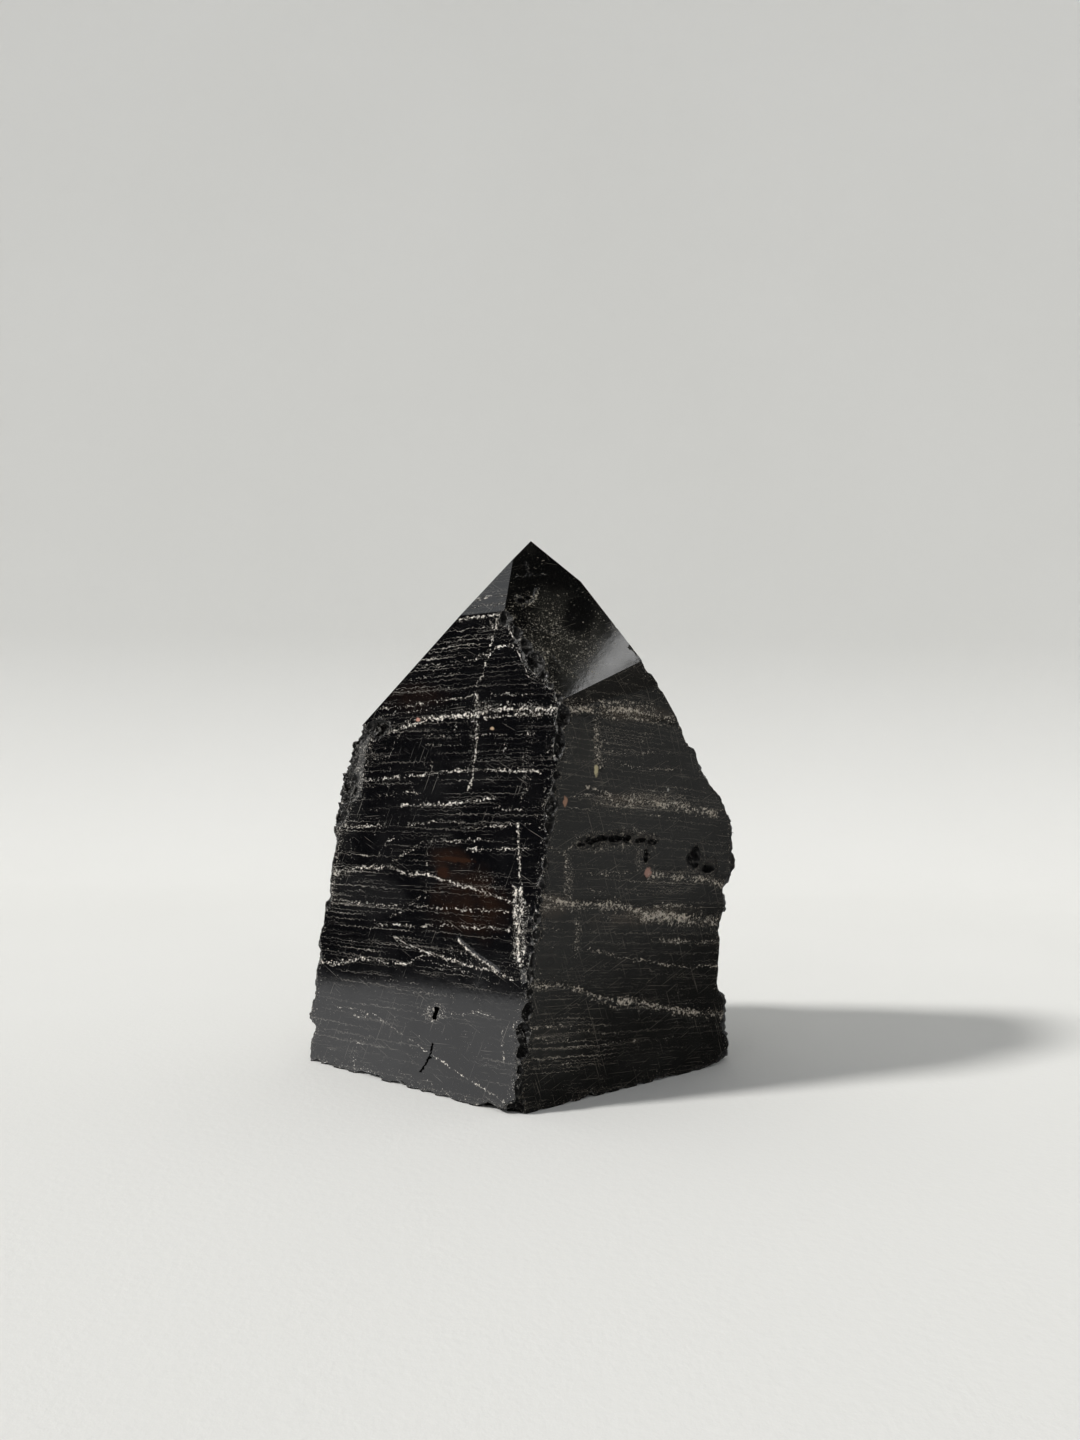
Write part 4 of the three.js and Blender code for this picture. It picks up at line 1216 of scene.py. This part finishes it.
def chip_relief(spot: Vector) -> float:
    """A chip's fine relief: flakes and crumbs that end in small steps.

    Args:
        spot: A place on it, in millimetres.

    Returns:
        How far the surface stands out there, in millimetres.
    """
    places = [noise.voronoi(spot * scale)[1][0] for scale in (FLAKE_SCALE, CRUMB_SCALE)]
    flakes, crumbs = (noise.noise(place * 37.7) for place in places)
    return FLAKE_HEIGHT * flakes + CRUMB_HEIGHT * crumbs + 0.25 * noise.noise(spot * 0.9) - 0.15


@dataclass
class Facet:
    """A plane that the stone was ground to.

    Args:
        normal: The way it faces.
        offset: How far it lies along that.
        area: The area found on it.
    """

    normal: Vector
    offset: float
    area: float = 0.0

    def holds(self, face: bmesh.types.BMFace) -> bool:
        """Whether a face lies on this plane."""
        level = abs(face.calc_center_median().dot(self.normal) - self.offset)
        return level < SAME_LEVEL and face.normal.dot(self.normal) > SAME_COSINE

    @property
    def finish(self) -> Finish:
        """The finish of the facet, by the way it faces."""
        if self.normal.z < DOWNWARD:
            return Finish.SAWN_BASE
        if self.normal.z > UPWARD:
            front = self.normal.x > 0 and self.normal.y < FORWARD
            return Finish.TIP_FRONT if front else Finish.TIP_SIDES
        return Finish.LEFT_FACE if self.normal.x < 0 else Finish.RIGHT_FACE

    @property
    def axes(self) -> tuple[Vector, Vector]:
        """The level and the rising direction on the plane."""
        up = Vector((0, 0, 1)) if abs(self.normal.z) < 0.9 else Vector((0, 1, 0))
        level = up.cross(self.normal).normalized()
        return level, self.normal.cross(level)


@dataclass
class TourmalinePoint:
    """The stone, as one closed mesh with a finish for each kind of surface.

    Args:
        least_facet: The smallest area that counts as a ground facet.
        least_start: The smallest face that a facet is looked for from.
        ground_step: The mesh's step on ground facets.
        base_step: Its step on the sawn base.
        raw_step: Its longest edge on the raw crystal.
        chip_step: Its longest edge on chips.
        chip_depth: How deep behind a ground front face a chip can reach.
        raw_bearings: The bearings between which the crystal is raw, in radians.
        middle: The middle of the bearings.
        halvings: How often long edges are halved at most.
        raw_rounds: How often the raw faces are smoothed.
        chip_rounds: How often chips are.
        worn_rounds: How often the worn part of the right side is.
        inner_rounds: How often the inside of each ground facet is, after its border has moved.
        border_rounds: How often the facets' broken borders are, and then those on the raw side and
            those on the worn side.
        fraying: How far the broken borders of ground facets stray.
        seed: What the fraying's noise starts from, which is the clock unless it is set.
        rim_reach: How far from a broken edge it is crushed.
        calm: How far from a ground facet the raw relief comes to its full depth.
        chip_calm: How far from one the relief of a chip does.
        smooth_from: The height from which the right side is worn smooth.
        smooth_side: How far right of the middle that side starts.
    """

    least_facet: float = 110 * MM * MM
    least_start: float = 4 * MM * MM
    ground_step: float = 1.3 * MM
    base_step: float = 4.0 * MM
    raw_step: float = 1.25 * MM
    chip_step: float = 0.50 * MM
    chip_depth: float = 6.0 * MM
    raw_bearings: tuple[float, float] = (-0.24, 2.98)
    middle: tuple[float, float] = (-0.4 * MM, -1.5 * MM)
    halvings: int = 6
    raw_rounds: int = 28
    chip_rounds: int = 3
    worn_rounds: int = 112
    inner_rounds: int = 30
    border_rounds: tuple[int, int, int] = (7, 30, 200)
    fraying: float = 0.55 * MM
    seed: int = 7
    rim_reach: float = 3.0 * MM
    calm: float = 1.4 * MM
    chip_calm: float = 2.2 * MM
    smooth_from: float = 66.0 * MM
    smooth_side: float = 18.0 * MM
    facets: list[Facet] = field(default_factory=list)

    def build(self, effects: Effects) -> bpy.types.Object:
        """Make the stone and dress it.

        Args:
            effects: The shared node groups.

        Returns:
            The stone's object.
        """
        bm = bmesh.new()
        bm.from_mesh(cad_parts[NODE].data)
        bmesh.ops.remove_doubles(bm, verts=bm.verts, dist=SAME_POINT)
        bm.normal_update()
        self._sort_faces(bm)
        self._grid_facets(bm)
        self._refine(bm)
        self._fray(bm)
        self._soften(bm)
        self._carve(bm)
        self._seat(bm)
        stone = self._to_object(bm)
        for finish in Finish:
            stone.data.materials.append(FINISHES[finish].build(effects))
        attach(stone, BODY)
        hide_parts(NODE)
        return stone

    def _sort_faces(self, bm: bmesh.types.BMesh) -> None:
        """Find the ground facets in the stone's mesh and give each face its finish."""
        found: list[Facet] = []
        for face in sorted(bm.faces, key=lambda f: -f.calc_area()):
            home = next((facet for facet in found if facet.holds(face)), None)
            if home is None and face.calc_area() > self.least_start:
                home = Facet(face.normal.copy(), face.calc_center_median().dot(face.normal))
                found.append(home)
            if home is not None:
                home.area += face.calc_area()
        self.facets = [facet for facet in found if facet.area > self.least_facet]
        layer = bm.faces.layers.int.new("facet")
        for face in bm.faces:
            face[layer] = next((n for n, facet in enumerate(self.facets) if facet.holds(face)), -1)
            if face[layer] >= 0:
                face.material_index = self.facets[face[layer]].finish.value
            else:
                face.material_index = self._rough_kind(face.calc_center_median()).value

    def _rough_kind(self, spot: Vector) -> Finish:
        """Tell a chip on the ground side from the raw crystal, by the middle of a face."""
        bearing = math.atan2(spot.y - self.middle[1], spot.x - self.middle[0])
        if bearing < -math.pi / 2:
            bearing += 2 * math.pi
        raw = self.raw_bearings[0] < bearing < self.raw_bearings[1]
        shallow = any(
            0 <= facet.offset - spot.dot(facet.normal) < self.chip_depth
            for facet in self.facets if facet.normal.y < FORWARD
        )
        return Finish.CHIPPED if shallow and not raw else Finish.RAW

    def _grid_facets(self, bm: bmesh.types.BMesh) -> None:
        """Replace each facet's long triangles in the stone's mesh by an even grid."""
        layer = bm.faces.layers.int["facet"]
        for number, facet in enumerate(self.facets):
            inner = [e for e in bm.edges if len(e.link_faces) == 2
                     and all(f[layer] == number for f in e.link_faces)]
            verts = list(dict.fromkeys(v for e in inner for v in e.verts))
            bmesh.ops.dissolve_limit(bm, angle_limit=SAME_TURN, use_dissolve_boundaries=False,
                                     verts=verts, edges=inner, delimit={"MATERIAL"})
            step = self.base_step if facet.finish is Finish.SAWN_BASE else self.ground_step
            for axis in facet.axes:
                faces = [f for f in bm.faces if f[layer] == number]
                reach = [v.co.dot(axis) for f in faces for v in f.verts]
                first = math.ceil(min(reach) / step)
                for count in range(first, math.ceil(max(reach) / step)):
                    faces = [f for f in faces if f.is_valid]
                    edges = dict.fromkeys(e for f in faces for e in f.edges)
                    verts = dict.fromkeys(v for f in faces for v in f.verts)
                    cut = bmesh.ops.bisect_plane(bm, geom=[*faces, *edges, *verts], dist=SAME_CUT,
                                                 plane_co=axis * step * count, plane_no=axis)
                    faces = [f for f in cut["geom"] if isinstance(f, bmesh.types.BMFace)]
        triangulate(bm)

    def _refine(self, bm: bmesh.types.BMesh) -> None:
        """Halve the edges of rough faces until they are short enough."""
        steps = {Finish.RAW.value: self.raw_step, Finish.CHIPPED.value: self.chip_step}
        for _ in range(self.halvings):
            long = [
                edge for edge in bm.edges
                if edge.calc_length() > min(steps.get(f.material_index, math.inf) for f in edge.link_faces)
            ]
            if not long:
                break
            bmesh.ops.subdivide_edges(bm, edges=long, cuts=1)
            triangulate(bm)
            self._unfold(bm)

    @staticmethod
    def _unfold(bm: bmesh.types.BMesh) -> None:
        """Take out pairs of faces that thin triangles left folded onto each other."""
        while True:
            crowded = [edge for edge in bm.edges if len(edge.link_faces) > 2]
            twins: dict[frozenset, list[bmesh.types.BMFace]] = {}
            for face in dict.fromkeys(f for edge in crowded for f in edge.link_faces):
                twins.setdefault(frozenset(face.verts), []).append(face)
            flaps = [f for faces in twins.values() for f in faces[:len(faces) // 2 * 2]]
            if not flaps:
                return
            bmesh.ops.delete(bm, geom=flaps, context="FACES")

    @staticmethod
    def _free(bm: bmesh.types.BMesh, finish: Finish) -> list[bmesh.types.BMVert]:
        """The vertices that touch no ground facet and belong to one rough finish."""
        return [v for v in bm.verts
                if all(f.material_index == finish.value for f in v.link_faces)]

    def _fray(self, bm: bmesh.types.BMesh) -> None:
        """Make the broken borders of ground facets ragged, within their planes."""
        layer = bm.faces.layers.int["facet"]
        borders: dict[bmesh.types.BMVert, list[bmesh.types.BMEdge]] = {}
        for edge in bm.edges:
            sides = [f[layer] for f in edge.link_faces]
            if max(sides) >= 0 > min(sides):
                for vert in edge.verts:
                    borders.setdefault(vert, []).append(edge)
        on = {v: {f[layer] for f in v.link_faces} - {-1} for v in bm.verts}
        free = [v for v, edges in borders.items() if len(edges) == 2 and len(on[v]) == 1]
        raw = [v for v in free if any(f.material_index == Finish.RAW.value for f in v.link_faces)]
        high = [v for v in free if v.co.x > self.smooth_side and v.co.z > self.smooth_from]
        often, on_raw, on_worn = self.border_rounds
        for soft in [free] * often + [raw] * on_raw + [high] * on_worn:
            ends = [[edge.other_vert(v).co for edge in borders[v]] for v in soft]
            spots = [v.co.lerp((a + b) / 2, 0.5) for v, (a, b) in zip(soft, ends)]
            for vert, spot in zip(soft, spots):
                vert.co = spot
        noise.seed_set(self.seed)
        for vert in free:
            normal = self.facets[next(iter(on[vert]))].normal
            spot = vert.co / MM
            push = noise.noise_vector(spot * 0.42) * 0.65 + noise.noise_vector(spot * 1.1) * 0.5
            vert.co += (push - normal * push.dot(normal)) * self.fraying
        inner = [v for v in bm.verts if len(on[v]) == 1 and v not in borders]
        smooth(bm, inner, self.inner_rounds)
        bm.normal_update()

    def _soften(self, bm: bmesh.types.BMesh) -> None:
        """Round the solid's flat triangles on the raw side, in chips and where the stone is worn."""
        smooth(bm, self._free(bm, Finish.RAW), self.raw_rounds)
        smooth(bm, self._free(bm, Finish.CHIPPED), self.chip_rounds)
        worn = [v for v in bm.verts if v.co.x > self.smooth_side and v.co.z > self.smooth_from
                and not any(Finish(f.material_index).ground for f in v.link_faces)]
        smooth(bm, worn, self.worn_rounds)
        bm.normal_update()

    def _carve(self, bm: bmesh.types.BMesh) -> None:
        """Give the rough surfaces their fine relief."""
        ground = [v for v in bm.verts if any(Finish(f.material_index).ground for f in v.link_faces)]
        tree = nearest_of([v for v in ground
                           if not all(Finish(f.material_index).ground for f in v.link_faces)])
        firm = set(ground)
        moves = []
        for vert in bm.verts:
            if vert in firm:
                continue
            away = tree.find(vert.co)[2]
            kinds = [f.material_index == Finish.RAW.value for f in vert.link_faces]
            raw = sum(kinds) * 2 > len(kinds)
            depth = raw_relief(vert.co / MM) if raw else chip_relief(vert.co / MM)
            share = min(away / (self.calm if raw else self.chip_calm), 1.0)
            moves.append((vert, vert.normal * depth * share * MM))
        for vert, move in moves:
            vert.co += move
        bm.normal_update()

    def _seat(self, bm: bmesh.types.BMesh) -> None:
        """Keep every rough vertex behind the planes that the stone was ground to."""
        for vert in bm.verts:
            for facet in self.facets:
                over = vert.co.dot(facet.normal) - facet.offset
                if over > 0:
                    vert.co -= facet.normal * over

    def _to_object(self, bm: bmesh.types.BMesh) -> bpy.types.Object:
        """Turn the mesh into an object, with its closeness to broken edges and its crests.

        Args:
            bm: The stone's mesh, which is freed.

        Returns:
            The object.
        """
        bm.normal_update()
        for face in bm.faces:
            face.smooth = face.material_index == Finish.RAW.value
        for edge in bm.edges:
            kinds = {f.material_index for f in edge.link_faces}
            edge.smooth = len(kinds) == 1
        rims = self._rims(bm)
        crests = self._crests(bm)
        stone = to_object(bm, "black_tourmaline")
        layers = stone.data.attributes
        for name in ("facet", "custom_normal"):
            if name in layers:
                layers.remove(layers[name])
        for name, values in (("rim", rims), ("crest", crests)):
            layers.new(name, "FLOAT", "POINT").data.foreach_set("value", values)
        return stone

    def _rims(self, bm: bmesh.types.BMesh) -> list[float]:
        """How close each vertex is to a broken edge of a ground facet, from 0 to 1."""
        tree = nearest_of([v for v in bm.verts
                           if len({Finish(f.material_index).ground for f in v.link_faces}) == 2])
        return [max(0.0, 1.0 - tree.find(v.co)[2] / self.rim_reach) for v in bm.verts]

    @staticmethod
    def _crests(bm: bmesh.types.BMesh) -> list[float]:
        """How far each vertex stands above its neighbours, 0.5 where it is level."""
        heights = []
        for vert in bm.verts:
            around = [edge.other_vert(vert).co for edge in vert.link_edges]
            mean = sum(around, Vector()) / len(around)
            spread = sum((co - vert.co).length for co in around) / len(around)
            rise = (vert.co - mean).dot(vert.normal)
            heights.append(0.5 + CREST_GAIN * rise / max(spread, LEAST_SPREAD))
        return [min(max(value, 0.0), 1.0) for value in heights]


# ---------------------------------------------------------------------------------------------
# The studio
# ---------------------------------------------------------------------------------------------


@dataclass(frozen=True)
class Card:
    """A glowing card that only shows as a reflection.

    Args:
        name: Its name.
        corners: Its corners in order, in millimetres.
        glow: Its brightness.
        tint: Its colour.
        feathered: Whether it fades out towards its first side.
    """

    name: str
    corners: tuple[tuple[float, float, float], ...]
    glow: float
    tint: Colour = (1.0, 1.0, 1.0)
    feathered: bool = False

    def build(self) -> None:
        """Make the card."""
        bm = bmesh.new()
        verts = [bm.verts.new(Vector(corner) * MM) for corner in self.corners]
        face = bmesh.ops.contextual_create(bm, geom=verts)["faces"][0]
        uv = bm.loops.layers.uv.new("UVMap")
        for loop, spot in zip(face.loops, ((0, 0), (1, 0), (1, 1), (0, 1))):
            loop[uv].uv = spot
        card = to_object(bm, self.name)
        card.visible_camera = False
        card.visible_diffuse = False
        card.visible_shadow = False
        card.visible_transmission = False
        card.visible_volume_scatter = False
        material, g = blank_material(self.name)
        glow = g.add("ShaderNodeEmission")
        g.feed(glow.inputs["Color"], self.tint)
        g.feed(glow.inputs["Strength"], self.glow)
        if self.feathered:
            across, _, _ = g.parted(g.add("ShaderNodeTexCoord").outputs["UV"])
            g.feed(glow.inputs["Strength"], g.span(across, 0.0, 0.7, 0.0, self.glow))
        end = g.add("ShaderNodeOutputMaterial")
        g.feed(end.inputs["Surface"], glow.outputs["Emission"])
        card.data.materials.append(material)


@dataclass
class Studio:
    """A pale floor that sweeps up behind the stone, a soft key and dim surroundings.

    Args:
        half_width: Half the floor's width.
        front: How far the floor reaches in front of the stone.
        back: How far behind the stone the wall stands.
        height: The wall's height.
        sweep: The radius of the curve between them.
        key_from: The direction that the key comes from.
        key_strength: Its irradiance.
        key_width: Its apparent size, in radians.
        key_tint: Its colour.
        paper: The two colours of the floor.
        tint: The colour of the room.
        shown: The brightness of the room as the camera sees it.
        ambient: Its brightness for dull surfaces.
        dark: The brightness of the room in front, as seen in gloss.
        light: The brightness of the room behind, as seen in gloss.
    """

    half_width: float = 3.0
    front: float = 2.0
    back: float = 0.46
    height: float = 2.2
    sweep: float = 0.16
    key_from: tuple[float, float, float] = (-0.743, -0.229, 0.631)
    key_strength: float = 2.6
    key_width: float = math.radians(7)
    key_tint: Colour = (1.0, 0.985, 0.955)
    paper: tuple[Colour, Colour] = ((0.80, 0.80, 0.78), (0.84, 0.84, 0.825))
    tint: Colour = (0.97, 0.985, 1.0)
    shown: float = 0.75
    ambient: float = 0.38
    dark: float = 0.010
    light: float = 0.35

    def build(self) -> None:
        """Make the floor, the cards, the key and the world."""
        self._backdrop()
        self._key()
        self._world()
        for card in CARDS:
            card.build()
        bpy.context.scene.view_settings.view_transform = "Standard"

    def _backdrop(self) -> None:
        """Make the floor and the wall as one sheet with a round sweep between them."""
        bm = bmesh.new()
        near = [bm.verts.new((x, -self.front, 0)) for x in (-self.half_width, self.half_width)]
        row = bm.edges.new(near)
        floor = bmesh.ops.extrude_edge_only(bm, edges=[row])["geom"]
        bend = [e for e in floor if isinstance(e, bmesh.types.BMEdge) and e is not row
                and not any(v in near for v in e.verts)]
        bmesh.ops.translate(bm, vec=(0, self.front + self.back, 0), verts=list(bend[0].verts))
        wall = bmesh.ops.extrude_edge_only(bm, edges=bend)["geom"]
        top = [v for v in wall if isinstance(v, bmesh.types.BMVert)]
        bmesh.ops.translate(bm, vec=(0, 0, self.height), verts=top)
        bmesh.ops.bevel(bm, geom=bend, offset=self.sweep, segments=32, profile=0.5,
                        affect="EDGES", material=-1)
        bmesh.ops.recalc_face_normals(bm, faces=bm.faces)
        for face in bm.faces:
            face.smooth = True
        floor_sheet = to_object(bm, "floor")
        floor_sheet.visible_glossy = False
        material, g = blank_material("pale paper")
        place = g.stretch(g.add("ShaderNodeTexCoord").outputs["Object"], (1 / MM,) * 3)
        grain = g.noise(place, 0.55, 3.0, 0.6)
        colour = g.mix(g.noise(place, 0.006, 2.0), *self.paper)
        g.surface(grain, 0.25, 0.3, Base_Color=colour, Roughness=0.9, Specular_IOR_Level=0.0)
        floor_sheet.data.materials.append(material)

    def _key(self) -> None:
        """Make the soft key light."""
        data = bpy.data.lights.new("key", "SUN")
        data.energy = self.key_strength
        data.angle = self.key_width
        data.color = self.key_tint
        key = add_object("key", data)
        key.rotation_mode = "QUATERNION"
        key.rotation_quaternion = Vector(self.key_from).to_track_quat("Z", "Y")

    def _world(self) -> None:
        """Make the room: even for dull surfaces, dim in front and pale behind for gloss."""
        world = bpy.data.worlds.new("room")
        world.use_nodes = True
        world.node_tree.nodes.clear()
        g = Graph(world.node_tree)
        path = g.add("ShaderNodeLightPath").outputs
        _, behind, _ = g.parted(g.add("ShaderNodeTexCoord").outputs["Generated"])
        gloss = g.span(behind, 0.15, 0.85, self.dark, self.light)
        seen = g.math("MULTIPLY_ADD", path["Is Camera Ray"], self.shown - self.ambient, self.ambient)
        shiny = path["Is Glossy Ray"]
        kept = g.math("MULTIPLY", seen, g.math("SUBTRACT", 1.0, shiny))
        strength = g.math("MULTIPLY_ADD", gloss, shiny, kept)
        room = g.add("ShaderNodeBackground")
        g.feed(room.inputs["Color"], self.tint)
        g.feed(room.inputs["Strength"], strength)
        end = g.add("ShaderNodeOutputWorld")
        g.feed(end.inputs["Surface"], room.outputs["Background"])
        bpy.context.scene.world = world


CARDS = (
    Card("table_glow", ((-303, -25, 0.3), (-362, -100, 0.3), (-338, -205, 0.3), (-8, -205, 0.3),
                        (-8, 60, 0.3)), 0.95),
    Card("side_glow", ((520, -450, -346), (520, -45, -28), (520, -25, 104), (520, -450, 96)), 0.28,
         (1.0, 1.0, 0.96)),
    Card("roof_glow", ((560, -420, 620), (560, 120, 620), (900, 120, 820), (900, -420, 820)), 0.16,
         (1.0, 0.93, 0.84)),
    Card("left_glow", ((-760, 90, 690), (-330, 250, 1010), (-330, 620, 1010), (-760, 460, 690)), 0.60,
         (0.94, 0.97, 1.0)),
    Card("strip_glow", ((462, -104, 1000), (466, -104, 1000), (590, 135, 1000), (500, 135, 1000)), 3.1,
         feathered=True),
)


@dataclass(frozen=True)
class ViewCamera:
    """The camera, level, with a small rise and roll.

    Args:
        place: Where it stands, in millimetres.
        lens: Its focal length, in millimetres.
        sensor: The long side of its sensor, in millimetres.
        rise: How far the picture is raised, as a share of its long side.
        roll: How far it leans, in radians.
        clip: The nearest and the farthest that it sees, in metres.
    """

    place: tuple[float, float, float] = (4.11, -280.48, 85.3)
    lens: float = 26.0
    sensor: float = 36.0
    rise: float = 20 / 1440
    roll: float = -0.0098
    clip: tuple[float, float] = (0.01, 20.0)

    def build(self) -> bpy.types.Object:
        """Make the camera and use it."""
        data = bpy.data.cameras.new("camera")
        data.lens = self.lens
        data.sensor_width = self.sensor
        data.sensor_fit = "AUTO"
        data.shift_y = self.rise
        data.clip_start, data.clip_end = self.clip
        camera = add_object("camera", data)
        camera.location = Vector(self.place) * MM
        camera.rotation_euler = (math.pi / 2, self.roll, 0)
        bpy.context.scene.camera = camera
        return camera


def main() -> None:
    """Build the camera, the studio and the stone."""
    logging.basicConfig(level=logging.INFO, format="%(name)s: %(message)s")
    camera = ViewCamera().build()
    LOG.info("%s at %s", camera.name, tuple(round(c, 4) for c in camera.location))
    Studio().build()
    stone = TourmalinePoint().build(Effects())
    LOG.info("%s: %d triangles", stone.name, len(stone.data.polygons))
    for finish in Finish:
        share = sum(face.material_index == finish.value for face in stone.data.polygons)
        LOG.info("%s: %d triangles", FINISHES[finish].name, share)


if __name__ == "__main__":
    main()
